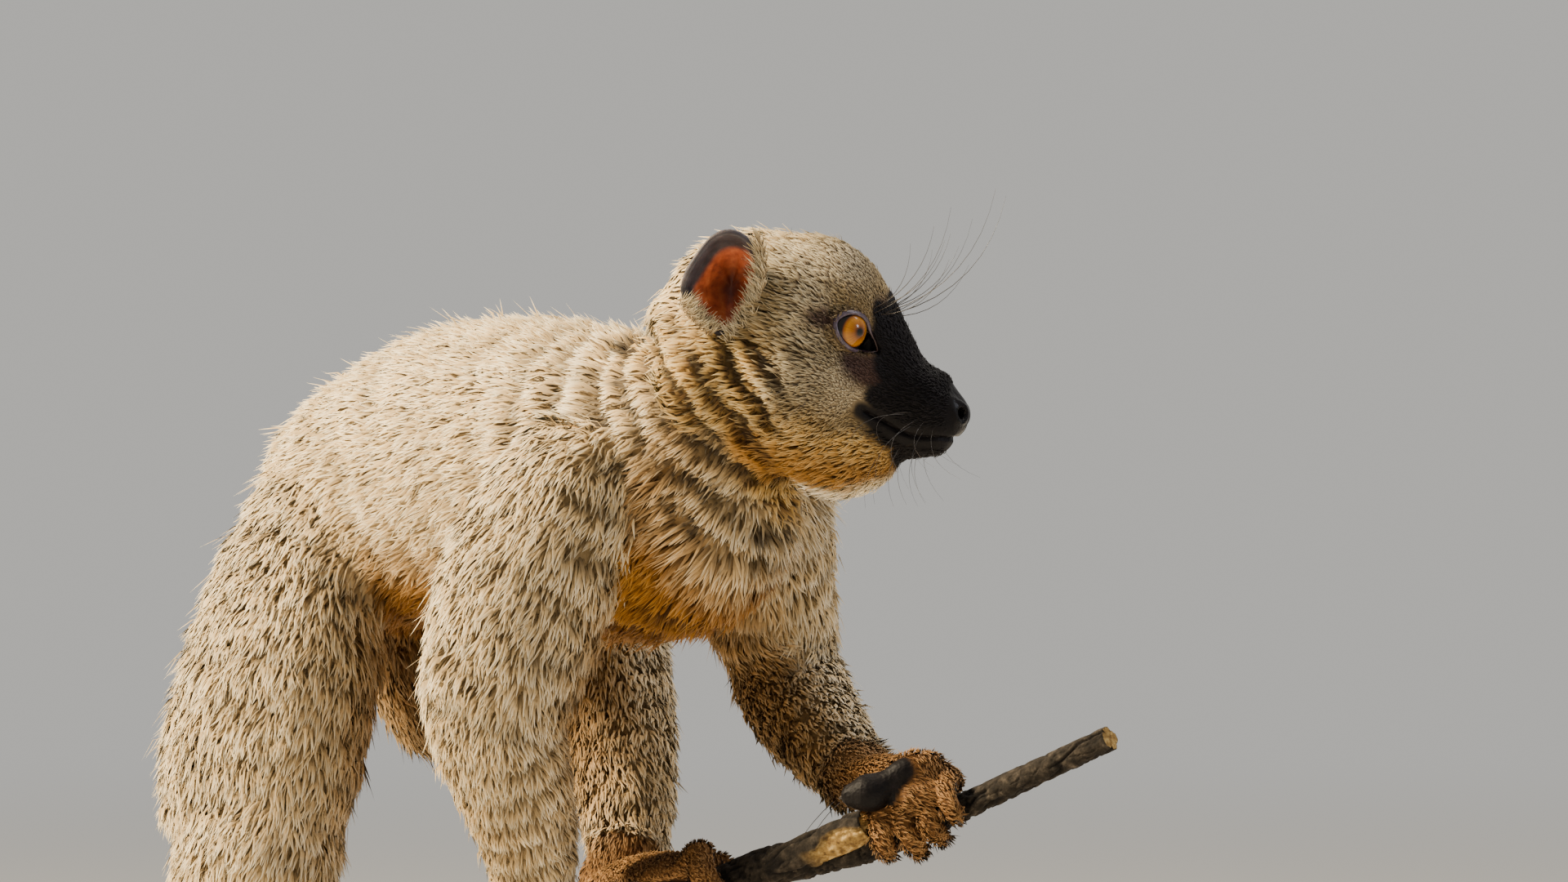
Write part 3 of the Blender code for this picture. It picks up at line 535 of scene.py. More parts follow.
def sculptFace(points, normals):
    face, side = mirrored(points)
    turned = normals @ headTurn
    turned[:, 1] *= side
    front = face[:, 0] > 10
    # the muzzle is pinched in before the eyes, with a hollow under them
    for centre, size, deep in facePlan["hollows"]:
        face[:, 1] -= deep * bump(face, centre, size) * front
    face += turned * sum(high * bump(face, centre, size)
                         for centre, size, high in facePlan["swellings"])[:, None]
    # the mouth: a crease with a lip above and below it
    seen = face[:, [0, 2]]
    away = toLine(seen, mouthLine)
    below = seen[:, 1] < np.interp(seen[:, 0], mouthLine[:, 0], mouthLine[:, 1])
    mouth, corner = facePlan["mouth"], ramp(face[:, 0], 35.0, 37.5) * (away < 8)
    face -= turned * (mouth["deep"] * np.exp(-(away / mouth["wide"]) ** 2) * corner)[:, None]
    lip = np.where(below, mouth["lower"], mouth["upper"])
    lip = lip * np.exp(-((away - mouth["away"]) / mouth["spread"]) ** 2)
    face += turned * (lip * ramp(face[:, 0], 33, 37))[:, None]
    # nostrils with raised rims, and the groove under the nose
    nostril = toCapsule(face, *facePlan["nostril"])
    face += turned * (0.5 * np.exp(-((nostril + 1.3) / 0.8) ** 2))[:, None]
    hollow = facePlan["nostrilDeep"] * ramp(nostril, -0.5, 0.9)
    face -= (turned * 0.65 + np.array((0.55, 0.5, 0))) * hollow[:, None]
    groove = np.exp(-(face[:, 1] / 0.6) ** 2) * ramp(face[:, 0], 60, 64)
    face[:, 0] -= facePlan["groove"] * (groove * ramp(face[:, 2], -12, -17))
    # the eyes: the skin lies over the ball as lids and drops behind it in the opening
    across, up, out = eyeView(face)
    edge = lidDistance(face)
    around = np.arctan2(up, across)
    sure = (edge > 3.2) & (edge < 4.8) & (turned @ gaze > 0.05)
    spots = np.linspace(-np.pi, np.pi, 25)[:-1]
    gaps = [np.abs(np.angle(np.exp(1j * (around[sure] - spot)))) < 0.2 for spot in spots]
    socket = np.array([np.median(out[sure][gap]) for gap in gaps])
    for _ in range(2):
        across, up, out = eyeView(face)
        flat = np.hypot(across, up)
        edge = lidDistance(face)
        slope = lidHeight(across, up) + 0.3
        rimOut = np.interp(np.arctan2(up, across), spots, socket, period=2 * np.pi)
        slope = np.where(edge < 3.4, slope + (rimOut - slope) * edge / 4, -99)
        ball = np.sqrt(np.maximum(eyePlan["radius"] ** 2 - flat ** 2, 0))
        lid = np.sqrt(np.maximum((eyePlan["radius"] + eyePlan["lid"]) ** 2 - flat ** 2, 0))
        hidden = np.where(flat < eyePlan["radius"], ball - 1.5, out - 1.1)
        hidden = np.minimum(hidden, lidHeight(across, up) - 1.6 + 0.9 * ramp(across, 5, 8))
        cover = np.maximum(np.where(flat < eyePlan["radius"] + 0.4, lid, out), slope)
        target = np.where(edge < 0, np.minimum(out, hidden), np.maximum(out, cover))
        near = (edge < 9) & (out > -9) & ((turned @ gaze > 0.05) | (edge < 3.4))
        face += gaze * np.where(near, target - out, 0)[:, None]
    return unmirrored(face, side)


def refineFace(skin):    # twice as many points from the brows to the nose
    bm = bmesh.new()
    bm.from_mesh(skin.data)
    centre, reach = Vector(fromHead([44, 0, -9]) * mm), 34 * mm
    eyes = [Vector(fromHead([26, s * 17, 1]) * mm) for s in (1, -1)]
    edges = [e for e in bm.edges
             if (e.verts[0].co - centre).length < reach
             or min((e.verts[0].co - eye).length for eye in eyes) < 15 * mm]
    bmesh.ops.subdivide_edges(bm, edges=edges, cuts=1, use_grid_fill=True)
    bmesh.ops.triangulate(bm, faces=bm.faces)
    bm.to_mesh(skin.data)
    bm.free()


# the coat over each part: depth, lock length and width in mm, locks to a square cm
coatPlan = {
    "head": (3.2, 8.0, 1.05, 52), "nose": (0.3, 1.0, 0.4, 0), "neck": (7.0, 15.0, 1.25, 34),
    "trunk": (6.5, 13.5, 1.25, 32), "upper_arm": (5.5, 12.0, 1.2, 34),
    "forearm": (4.2, 9.0, 1.05, 42), "hand": (1.1, 3.9, 0.62, 80), "thigh": (6.3, 13.0, 1.25, 32),
    "shank": (4.8, 10.0, 1.1, 36), "foot": (1.0, 2.9, 0.55, 84), "tail": (8.0, 19.0, 1.7, 22),
}
headCoat = {    # the same at the muzzle, and what is added to it at the back of the head
    "depth": (0.55, 5.2), "length": (1.9, 10.5), "width": (0.45, 0.85), "number": (150, -108),
    "crown": 0.45}    # how much shorter on top
coatWay = {    # from and to, along which the coat lies, in mm
    "upper_arm_left": ((84, 24, 380), (45, 65, 303)),
    "forearm_left": ((47, 64, 307), (122, 44, 271)),
    "upper_arm_right": ((82, -26, 384), (65, -60, 292)),
    "forearm_right": ((66, -60, 292), (52, -35, 226)),
    "thigh_left": ((-106, 24, 362), (-30, 52, 303)), "shank_left": ((-33, 50, 302), (13, 27, 241)),
    "thigh_right": ((-100, -28, 368), (-94, -61, 240)),
    "shank_right": ((-90, -61, 240), (-112, -60, 155)),
}
tailLine = smoothRows([(-128, 0, 366), (-158, 2, 342), (-186, 4, 288), (-200, 6, 222),
                       (-211, 8, 156), (-227, 10, 100), (-258, 12, 60), (-302, 12, 45),
                       (-338, 11, 58), (-360, 9, 82), (-368, 8, 96)], 6)


def plainName(node):
    return node.replace("_left", "").replace("_right", "").rstrip("_1234")


def onParts(part, *names):    # which points lie on the parts of those plain names
    return np.isin(part, [k for k, node in enumerate(fleshNodes) if plainName(node) in names])


def nearestParts(points):    # which CAD flesh node each point belongs to
    corners, faces, owner = [], [], []
    for number, name in enumerate(fleshNodes):
        nodePoints, triangles = readMesh(cadNodes[name].data)
        faces += (triangles + len(corners)).tolist()
        corners += nodePoints.tolist()
        owner += [number] * len(triangles)
    tree = BVHTree.FromPolygons(corners, faces)
    return np.array([owner[tree.find_nearest(p)[2]] for p in points.tolist()])


def coatDirections(points, part):    # the way the coat lies, before it is laid on the skin
    way = np.zeros_like(points)
    for number, name in enumerate(fleshNodes):
        mine = part == number
        here = points[mine]
        if name in ("head", "nose"):
            local = toHead(here)
            off = local - np.array([64, 0, -14])
            lies = unit(off) + np.array([-0.5, 0, 0])
            lies[:, 2] -= 0.55 * ramp(local[:, 0], 12, -12)
            way[mine] = unit(lies) @ headTurn.T
        elif name == "neck":
            way[mine] = unit(np.array([-0.75, 0, -0.62]))
        elif name == "trunk":
            way[mine] = unit(np.array([-1, 0, -0.42]))
        elif name in coatWay:
            start, end = (np.array(p, float) for p in coatWay[name])
            way[mine] = unit(end - start)
        elif name.startswith("tail"):
            off = np.linalg.norm(here[:, None] - tailLine[None], axis=2).argmin(axis=1)
            way[mine] = unit(np.gradient(tailLine, axis=0))[off]
        else:
            plan = gripPlans[name]
            start = np.array(plan["end"], float) * 2 - np.array(plan["heel"], float)
            grip = branchAt(gripAxes(plan)[0])[0]
            way[mine] = unit(unit(here - start) + 0.5 * unit(grip - start))
    return way


# everything the coat and the colours need to know at each point of the skin
def shapeSkin(skin):
    mesh = skin.data
    points, triangles = readMesh(mesh)
    web = webOf(mesh)
    part = nearestParts(points)
    normals = unit(web.eased(pointNormals(points, triangles), 3))
    values = np.array([coatPlan[plainName(name)] for name in fleshNodes])[part]
    local, _ = mirrored(points)
    head = onParts(part, "head", "nose")
    back = ramp(local[:, 0], 34, -14)
    crown = ramp(local[:, 2], 2, 14)
    back = np.maximum(back, 0.62 * ramp(local[:, 2], -24, -40) * ramp(local[:, 0], 48, 40))
    shorter = 1 - headCoat["crown"] * crown
    for column, (key, growth) in enumerate((("depth", back * shorter),
                                            ("length", back * shorter), ("width", back),
                                            ("number", back ** 0.6))):
        least, more = headCoat[key]
        values[head, column] = (least + more * growth)[head]
    values = web.eased(values, 22)
    # how thick the flesh is there, which the coat takes no more than a third of
    tree = BVHTree.FromPolygons(points.tolist(), triangles.tolist())
    thick = np.full(len(points), 99.0)
    for k, (p, n) in enumerate(zip(points.tolist(), normals.tolist())):
        start = Vector(p) - Vector(n) * 0.05
        hit = tree.ray_cast(start, -Vector(n), 60.0)[3]
        if hit:
            thick[k] = hit
    thick = web.eased(thick, 6)
    depth = np.minimum(values[:, 0] + skinPlan["grow"], skinPlan["deepest"] * thick)
    paws = onParts(part, "hand", "foot")
    depth = np.where(paws, 0.0, depth)    # hands and feet are already made bare
    points = points - normals * web.eased(depth, 8)[:, None]
    points = np.where(paws[:, None], points, web.eased(points, 2, 0.4))
    normals = pointNormals(points, triangles)
    inFace = head & (local[:, 0] > 5)
    shaped = sculptFace(points, normals)
    points = np.where(inFace[:, None], shaped, points)
    # the head draws in behind the bowl of each ear
    face, side = mirrored(points)
    share, angle = earShare(face)
    behind = earPoint(np.minimum(share, 1.0), angle)[:, 1] - 1.6
    sunk = head & (share < 1.02)
    face[:, 1] = np.where(sunk, np.minimum(face[:, 1], behind), face[:, 1])
    touching = sunk & (behind - face[:, 1] < 2.2) & (share < 0.99)
    points = unmirrored(face, side)
    # ease the lids' outer skin and the lips into the face
    face, _ = mirrored(points)
    edge = lidDistance(face)
    ring = inFace & (edge > 0.6) & (edge < 7)
    for _ in range(3):
        points = np.where(ring[:, None], web.eased(points, 1, 0.45), points)
    # the lids keep clear of the eyeball, and the skin behind the opening stays inside it
    radius = eyePlan["radius"]
    outside, inside = radius + eyePlan["lidClear"], radius - eyePlan["behind"]
    for _ in range(2):
        face, side = mirrored(points)
        off = face - eyeCentre
        reach = np.linalg.norm(off, axis=1, keepdims=True)
        edge = lidDistance(face)[:, None]
        over = (edge > -0.2) & (reach < outside) & (reach > 3) & inFace[:, None]
        under = (edge < -0.5) & (reach > inside) & inFace[:, None]
        under = under & (np.hypot(*eyeView(face)[:2])[:, None] < radius - eyePlan["lid"])
        face = np.where(over, eyeCentre + off / reach * outside, face)
        face = np.where(under, eyeCentre + off / reach * inside, face)
        points = unmirrored(face, side)
    face, _ = mirrored(points)
    edge = lidDistance(face)
    mesh.vertices.foreach_set("co", np.asarray(points * mm, np.float32).ravel())
    mesh.update()
    normals = pointNormals(points, triangles)
    flow = web.eased(coatDirections(points, part), 18)
    even = unit(web.eased(normals, 3))
    flow -= even * np.sum(flow * even, axis=1, keepdims=True)
    flow = unit(web.eased(flow, 4))
    # short hair where it would hang over an ear
    share = np.where(head, earShare(mirrored(points)[0])[0], 9.0)
    values[:, 1] *= 0.38 + 0.62 * ramp(share, 1.0, 1.55)
    values[:, 1] *= 0.5 + 0.5 * ramp(edge, 0.5, 4.0)
    return {"points": points, "triangles": triangles, "part": part, "normals": even,
            "flow": flow, "values": values, "edge": edge, "head": head, "touching": touching}


faceMarks = {    # rounded patches in the head's axes: from, to, and the radius at each end
    "black": (((38, 0, 8), (52, 0, -7), 8.5, 11.5), ((46, 0, -12), (66, 0, -17), 14.5, 14),
              ((36.5, 16, -25), (48, 11, -27), 4.2, 7.0), ((50, 0, -29), (60, 0, -28), 8.5, 9),
              ((42, 12, -7), (50, 10, -14), 5.0, 8.0), ((33, 9, 8), (40, 10, -3), 4.6, 6.0),
              ((41, 14, -17), (56, 9, -20), 5.0, 6.0)),
    # dusk: dark patches of the face; the last one, behind the eye, is painted shade of a small
    # hollow there
    "dusk": (((30, 18, -9), (42, 12, -9), 5.2, 7.5), ((36, 9, 10), (37, 12, 1), 4.0, 4.0),
             ((19.5, 24.5, 3.2), (17.0, 25, 2.4), 3.0, 2.2)),
    "pale": (((27, 20, -15), (12, 25, -17), 7.0, 8.0), ((36, 15, -17), (24, 20, -19), 3.0, 6.5),
             ((20, 9, 20), (8, 18, 18), 8.0, 9.0), ((14, 24, 10), (16, 25, -4), 5.0, 5.0)),
    "gold": (((-2, 27, -22), (-24, 26, -26), 14.0, 22.0),
             ((16, 18, -36), (-4, 20, -46), 10.0, 14.0)),
    "throat": (((47, 0, -46), (28, 0, -54), 6.0, 7.5),),
    "jaw": (((46, 0, -36), (8, 14, -46), 10.0, 15.0),),
}


# how much of each marking a point has, from 0 to 1; the same for skin and coat
def markings(points, normals, part):
    face, _ = mirrored(points)
    rim = ramp(lidDistance(face) + 0.4 * lumps(points, 2.5, 4), 2.6, 0.4)
    x, z = face[:, 0], face[:, 2]
    head = onParts(part, "head", "nose")
    ragged = 1.1 * lumps(points, 3.5, 1) + 0.7 * lumps(points, 9, 2)
    black, dusk, pale, gold, throat, jaw = (
        np.max([toCapsule(face, *row) for row in rows], axis=0) for rows in faceMarks.values())
    chest = ramp(points[:, 0], 30, 75)
    low = ramp(-normals[:, 2], 0.2 - 0.45 * chest, 0.8 - 0.4 * chest)
    trunk = onParts(part, "trunk", "neck")
    limbs = onParts(part, "upper_arm", "forearm", "thigh", "shank")
    # underside of trunk and neck, inner side of the limbs: orange belly hair, its tint darkened as
    # painted shade
    belly = low * trunk * ramp(points[:, 0], 132, 108)
    inner = np.clip(-normals[:, 1] * np.sign(points[:, 1]), 0, 1) * limbs
    belly = np.maximum(belly, 0.75 * inner * ramp(points[:, 2], 215, 290))
    lower = ramp(-normals[:, 2] - 0.5 * normals[:, 0], 0.25, 0.9) * limbs
    rufous = np.zeros(len(points))
    for name, plan in gripPlans.items():
        off = np.linalg.norm(points - np.array(plan["end"], float), axis=1)
        mine = part == fleshNodes.index(name)
        wrist = ramp(off, 18, 4) * 0.2 * limbs
        rufous = np.maximum(rufous, np.where(mine, ramp(off, 3, 15) * 0.35 + 0.65, wrist))
    tailRun = np.linalg.norm(points[:, None, :] - tailLine[None, ::6], axis=2).argmin(axis=1)
    return {
        "black": ramp(black + ragged * 0.6, -1.2, 1.0) * head,
        "dusk": np.maximum(ramp(dusk + ragged * 0.8, -3.5, 3.0), 0.35 * rim) * head,
        "grey": 0.95 * ramp(x - 0.5 * z + 3 * ragged, -26, 2) * head,
        "pale": 0.8 * ramp(pale + ragged, -4, 3) * head,
        "gold": np.maximum.reduce([0.7 * ramp(gold + 2 * ragged, -7, 6) * (head | trunk),
                                   ramp(jaw + ragged, -3, 3) * (head | trunk),
                                   0.35 * belly, 0.45 * lower]),
        "cream": ramp(throat + ragged, -3, 3) * (head | trunk),
        "belly": np.maximum(belly, 0.9 * ramp(jaw + ragged, -4, 5) * ramp(z, -27, -43) * head),
        "rufous": rufous,
        "tail": (0.35 + 0.65 * ramp(tailRun, 1, 7)) * onParts(part, "tail"),
    }


# The coat lies in bands like shingles: hair ends at the end of its band, and the dark base of
# the next band shows there; the material darkens it further as painted shade in the gap.
partingPlan = {    # length of a band and strength over each part, in mm and from 0 to 1
    "head": (10.4, 1.0), "neck": (12.5, 1.0), "trunk": (19, 0.8), "upper_arm": (15, 0.6),
    "forearm": (11, 0.5), "thigh": (16, 0.32), "shank": (14, 0.36), "tail": (22, 0.3),
    "hand": (9, 0.15), "foot": (9, 0.15), "nose": (9, 0.0)}
opening = {"rise": (-0.02, 0.05), "fall": (0.58, 0.26),    # its edges, as shares of a band
           "thin": 0.92}    # share of the hair missing there


def bands(points, part, ways):    # band number with its fraction, band length, strength
    plan = np.array([partingPlan[plainName(name)] for name in fleshNodes])[part]
    local, _ = mirrored(points)
    along = np.sum(points * ways[part], axis=1)
    head, trunk = onParts(part, "head", "nose"), onParts(part, "trunk")
    along[head] = 6.4 - local[head, 0] * 0.68 - local[head, 2] * 0.74
    bend = 5.5 * lumps(points, 26, 5) * (1 - 0.6 * head) + 2.4 * lumps(points, 9, 6)
    bend += 1.1 * lumps(points, 3.2, 7)
    ruff = onParts(part, "head", "nose", "neck")
    broken = ramp(lumps(points, 19, 9) + 0.5 * lumps(points, 7, 10) + 0.3 * ruff, -0.5, 0.1)
    strength = plan[:, 1] * broken
    # on the head only behind the jaw, on the trunk mostly over the shoulder
    strength[head] *= ramp(local[head, 0], 19, 8) * ramp(local[head, 2], -3, -12)
    strength[trunk] *= 0.34 + 0.66 * ramp(points[trunk, 0], 5, 75)
    return (along + bend) / plan[:, 0], plan[:, 0], strength


def partings(points, part, ways):    # how far the coat is open there, from 0 to 1
    turn, _, strength = bands(points, part, ways)
    share = turn - np.floor(turn)
    return ramp(share, *opening["rise"]) * ramp(share, *opening["fall"]) * strength


# colours and materials
def hexColour(code):    # sRGB hex to the linear values that nodes take
    parts = [int(code[i:i + 2], 16) / 255 for i in (1, 3, 5)]
    return (*[c / 12.92 if c <= 0.04045 else ((c + 0.055) / 1.055) ** 2.4 for c in parts], 1.0)


def addNode(tree, kind, settings=None, links=None):    # a new node, or one there already, set up
    made = tree.nodes.new("ShaderNode" + kind) if isinstance(kind, str) else kind
    for key, value in (settings or {}).items():
        if isinstance(value, str) and value.startswith("#"):
            value = hexColour(value)
        if key == "stops":    # of a colour ramp: pairs of place and hex colour
            elements = made.color_ramp.elements
            while len(elements) < len(value):
                elements.new(0.5)
            for element, (place, colour) in zip(elements, value):
                element.position = place
                element.color = hexColour(colour)
        elif isinstance(key, str) and hasattr(made, key):
            setattr(made, key, value)
        else:
            made.inputs[key].default_value = value
    for key, source in (links or {}).items():
        if isinstance(source, str):    # a value that the mesh keeps at each point
            source = addNode(tree, "Attribute", {"attribute_name": source}).outputs["Fac"]
        tree.links.new(source, made.inputs[key])
    return made


def newMaterial(name):
    material = bpy.data.materials.new(name)
    material.use_nodes = True
    tree = material.node_tree
    return material, tree, tree.nodes["Principled BSDF"]


# Hair of the common brown lemur: dull grey-brown at the skin, buff above, many dark tips.
# Each marking: the stops of its colour from the root of a hair to its tip.
furTints = {
    "plain": [(0.0, "#856e4d"), (0.28, "#a88e66"), (0.6, "#c6aa7c"), (1.0, "#faecce")],
    "grey": [(0.0, "#372d21"), (0.28, "#5c4c38"), (0.6, "#87734f"), (1.0, "#baa885")],
    "gold": [(0.0, "#523a1b"), (0.30, "#966e36"), (0.62, "#cfa55c"), (1.0, "#f9e0a8")],
    # the belly tint: orange hair, darkened as painted shade under the chest, throat and jaw
    "belly": [(0.0, "#382107"), (0.35, "#67400f"), (0.7, "#905f1e"), (1.0, "#b5853c")],
    "pale": [(0.0, "#3a2f24"), (0.35, "#8d7a60"), (0.7, "#c9b792"), (1.0, "#eadcbb")],
    "cream": [(0.0, "#8a7350"), (0.35, "#d2b98a"), (0.7, "#f1e2c2"), (1.0, "#fdf4e2")],
    "rufous": [(0.0, "#271910"), (0.35, "#664525"), (0.7, "#93693c"), (1.0, "#bf9763")],
    "tail": [(0.0, "#1d1510"), (0.35, "#4a3a2b"), (0.7, "#766046"), (1.0, "#9c8560")],
    "dusk": [(0.0, "#140d0c"), (0.35, "#33231f"), (0.7, "#4c3831"), (1.0, "#66514a")],
    "black": [(0.0, "#070506"), (0.35, "#0d0b0c"), (0.7, "#171416"), (1.0, "#28232a")],
}


def furColour(tree, place, along, shade):
    colour = None
    for name, stops in furTints.items():
        tint = addNode(tree, "ValToRGB", {"stops": stops}, {"Fac": along}).outputs["Color"]
        if colour is None:
            colour = tint
        else:
            colour = addNode(tree, "Mix", {"data_type": "RGBA"}, {
                0: name, 6: colour, 7: tint}).outputs[2]
    # broad patches 14 mm across, lighter and darker
    patches = addNode(tree, "TexNoise", {"Scale": 1 / 0.014, "Detail": 3.0}, {"Vector": place})
    broad = addNode(tree, "MapRange", {"From Min": 0.3, "From Max": 0.7, "To Min": 0.80,
                                       "To Max": 1.14}, {"Value": patches.outputs["Fac"]})
    each = addNode(tree, "MapRange", {"To Min": 0.78, "To Max": 1.0}, {"Value": shade})
    light = addNode(tree, "Math", {"operation": "MULTIPLY"}, {
        0: broad.outputs["Result"], 1: each.outputs["Result"]})
    lit = addNode(tree, "VectorMath", {"operation": "SCALE"}, {
        0: colour, "Scale": light.outputs["Value"]})
    # the coat opens in partings, down to its dark base, darkened to near black as painted shade in
    # the gap
    opened = addNode(tree, "Math", {"operation": "MULTIPLY", 1: 0.93}, {0: "parting"})
    return addNode(tree, "Mix", {"data_type": "RGBA", 7: "#160e09"}, {
        0: opened.outputs["Value"], 6: lit.outputs["Vector"]}).outputs[2]


# Keratin guard hair in locks: soft, satin along each hair, a faint bloom at grazing angles.
def makeFurMaterial():
    material, tree, shader = newMaterial("keratinGuardHair")
    place = addNode(tree, "TexCoord").outputs["Object"]
    along, shade = (addNode(tree, "Attribute", {"attribute_name": name}).outputs["Fac"]
                    for name in ("along", "shade"))
    colour = furColour(tree, place, along, shade)
    # single hairs within a lock, drawn about 0.12 mm wide: the real 0.05 mm would not show
    sideways = addNode(tree, "CombineXYZ", links={"X": "across", "Y": along, "Z": shade})
    stretched = addNode(tree, "Mapping", {"Scale": (3.2, 0.8, 60.0)}, {
        "Vector": sideways.outputs["Vector"]})
    hairs = addNode(tree, "TexNoise", {"Scale": 1.6, "Detail": 2.0}, {
        "Vector": stretched.outputs["Vector"]})
    fine = addNode(tree, "MapRange", {"From Min": 0.25, "From Max": 0.75, "To Min": 0.74,
                                      "To Max": 1.18}, {"Value": hairs.outputs["Fac"]})
    streaked = addNode(tree, "VectorMath", {"operation": "SCALE"}, {
        0: colour, "Scale": fine.outputs["Result"]})
    # ticking: about a fifth of the locks end in a darker tip
    ticked = addNode(tree, "MapRange", {"From Min": 0.74, "From Max": 0.84}, {"Value": shade})
    end = addNode(tree, "MapRange", {"From Min": 0.62, "From Max": 0.95, "To Max": 0.32}, {
        "Value": along})
    tick = addNode(tree, "Math", {"operation": "MULTIPLY"}, {
        0: ticked.outputs["Result"], 1: end.outputs["Result"]})
    tick = addNode(tree, "Math", {"operation": "MULTIPLY"}, {
        0: tick.outputs["Value"], 1: "ticking"})
    final = addNode(tree, "Mix", {"data_type": "RGBA", 7: "#3a2a1b"}, {
        0: tick.outputs["Value"], 6: streaked.outputs["Vector"]})
    addNode(tree, shader, {
        "Roughness": 0.62, "Specular IOR Level": 0.12, "Sheen Weight": 0.02,
        "Sheen Roughness": 0.45, "Sheen Tint": "#ffedcc"}, {"Base Color": final.outputs[2]})
    return material


# Skin under the coat, and bare leathery skin on nose, lips, pads: matt, finely creased.
def makeSkinMaterial():
    material, tree, shader = newMaterial("leatherySkin")
    place = addNode(tree, "TexCoord").outputs["Object"]
    bare = addNode(tree, "Attribute", {"attribute_name": "bare"}).outputs["Fac"]
    middling = addNode(tree, "Value").outputs[0]    # the tint of a hair about half way up
    middling.default_value = 0.45
    colour = furColour(tree, place, middling, middling)
    creases = addNode(tree, "TexVoronoi", {"Scale": 1 / 0.0011}, {"Vector": place})
    grain = addNode(tree, "TexNoise", {"Scale": 1 / 0.0022, "Detail": 4.0}, {"Vector": place})
    leather = addNode(tree, "ValToRGB", {"stops": [
        (0.3, "#070506"), (0.6, "#0e0b0c"), (0.8, "#181215")]}, {"Fac": grain.outputs["Fac"]})
    mixed = addNode(tree, "Mix", {"data_type": "RGBA"}, {
        0: bare, 6: colour, 7: leather.outputs["Color"]})
    # short velvet hair reads as a fine nap, 0.5 mm; bare skin as creases about 1 mm apart
    nap = addNode(tree, "TexNoise", {"Scale": 1 / 0.0005, "Detail": 3.0}, {"Vector": place})
    relief = addNode(tree, "Mix", {"data_type": "FLOAT"}, {
        0: bare, 2: nap.outputs["Fac"], 3: creases.outputs["Distance"]})
    relief = addNode(tree, "Bump", {"Strength": 0.35, "Distance": 0.0003}, {
        "Height": relief.outputs[0]})
    # velvet is dullest, bare skin a little smoother, the nose pad moist
    rough = addNode(tree, "Mix", {"data_type": "FLOAT", 2: 0.8, 3: 0.55}, {0: bare})
    rough = addNode(tree, "Mix", {"data_type": "FLOAT", 3: 0.27}, {
        0: "wet", 2: rough.outputs[0]})
    addNode(tree, shader, {"Specular IOR Level": 0.1}, {
        "Base Color": mixed.outputs[2], "Roughness": rough.outputs[0],
        "Normal": relief.outputs["Normal"]})
    return material


# the coat: short tapered locks of hair, solid, rooted in the skin
coatPieces = {
    "coat_head": ["head"], "coat_neck": ["neck"], "coat_trunk": ["trunk"],
    "coat_arm_left": ["upper_arm_left", "forearm_left"],
    "coat_arm_right": ["upper_arm_right", "forearm_right"],
    "coat_leg_left": ["thigh_left", "shank_left"],
    "coat_leg_right": ["thigh_right", "shank_right"],
    "coat_tail": ["tail_1", "tail_2", "tail_3", "tail_4"], "coat_paws": pawNodes,
}
locks = {"most": 19800, "number": 1.6,    # the most to a piece; times the coat plan's number
         "size": (0.75, 1.2), "sway": 0.28,
         "liftRoot": 38.0, "liftTip": 13.0,    # degrees off the skin
         "strays": 0.05, "strayLength": 1.3, "strayWidth": 0.5,    # a few long, thin ones
         "clump": 8, "pull": 0.42, "patch": 0.003, "plainTicks": 0.55}
thumbPads = (((163, 12, 266), (170, 20, 269.5), 7.6, 7.4),    # bare on the left hand
             ((174, 23, 273), (176, 25, 275), 5.0, 4.4))


def bareSkin(info):    # 1 where no hair grows
    points, part = info["points"], info["part"]
    face, _ = mirrored(points)
    x, head = face[:, 0], info["head"]
    nose = toCapsule(face, (63.5, 0, -14.5), (67, 0, -18), 7.5, 7.5)
    pad = ramp(nose, -0.6, 0.4) * ramp(x, 58.6, 60.2)
    nostril = ramp(toCapsule(face, (60.2, 6.4, -13.6), (65.4, 4.5, -16.4), 2.0, 3.4), -0.5, 0.5)
    away = toLine(face[:, [0, 2]], mouthLine)
    lips = ramp(away, 5.0, 1.6) * ramp(x, 31.5, 34)
    lids = ramp(info["edge"], 0.5, 0.1)
    bare = np.maximum.reduce([pad, nostril, lips, lids, 1.0 * info["touching"]]) * head
    thumb = np.max([toCapsule(points, *row) for row in thumbPads], axis=0)
    bare = np.maximum(bare, ramp(thumb, -0.5, 0.6) * (part == fleshNodes.index("hand_left")))
    # the sides of palms and digits that face the branch
    for name in pawNodes:
        mine = np.nonzero(part == fleshNodes.index(name))[0]
        here = points[mine]
        off = np.linalg.norm(here[:, None] - branchRows[None, :, :3], axis=2)
        near = off.argmin(axis=1)
        inward = unit(branchRows[near, :3] - here)
        facing = np.sum(info["normals"][mine] * inward, axis=1)
        clear = off.min(axis=1) - branchRows[near, 3]
        bare[mine] = np.maximum(bare[mine], ramp(facing, 0.05, 0.45) * ramp(clear, 14, 9))
    return bare, pad * head


def unwrapped(points, part, nodes):    # each node's skin unrolled round its own long axis
    place = np.zeros((len(points), 2))
    for column, name in enumerate(nodes):
        mine = part == fleshNodes.index(name)
        if not mine.any():
            continue
        here = points[mine] - points[mine].mean(axis=0)
        axes = np.linalg.eigh(here.T @ here)[1]
        length = here @ axes[:, 2]
        angle = np.arctan2(here @ axes[:, 1], here @ axes[:, 0])
        place[mine, 0] = (column + 0.03 + 0.94 * (angle / (2 * np.pi) + 0.5)) / len(nodes)
        low, high = length.min(), length.max()
        place[mine, 1] = 0.02 + 0.95 * (length - low) / max(high - low, 1e-6)
    return place


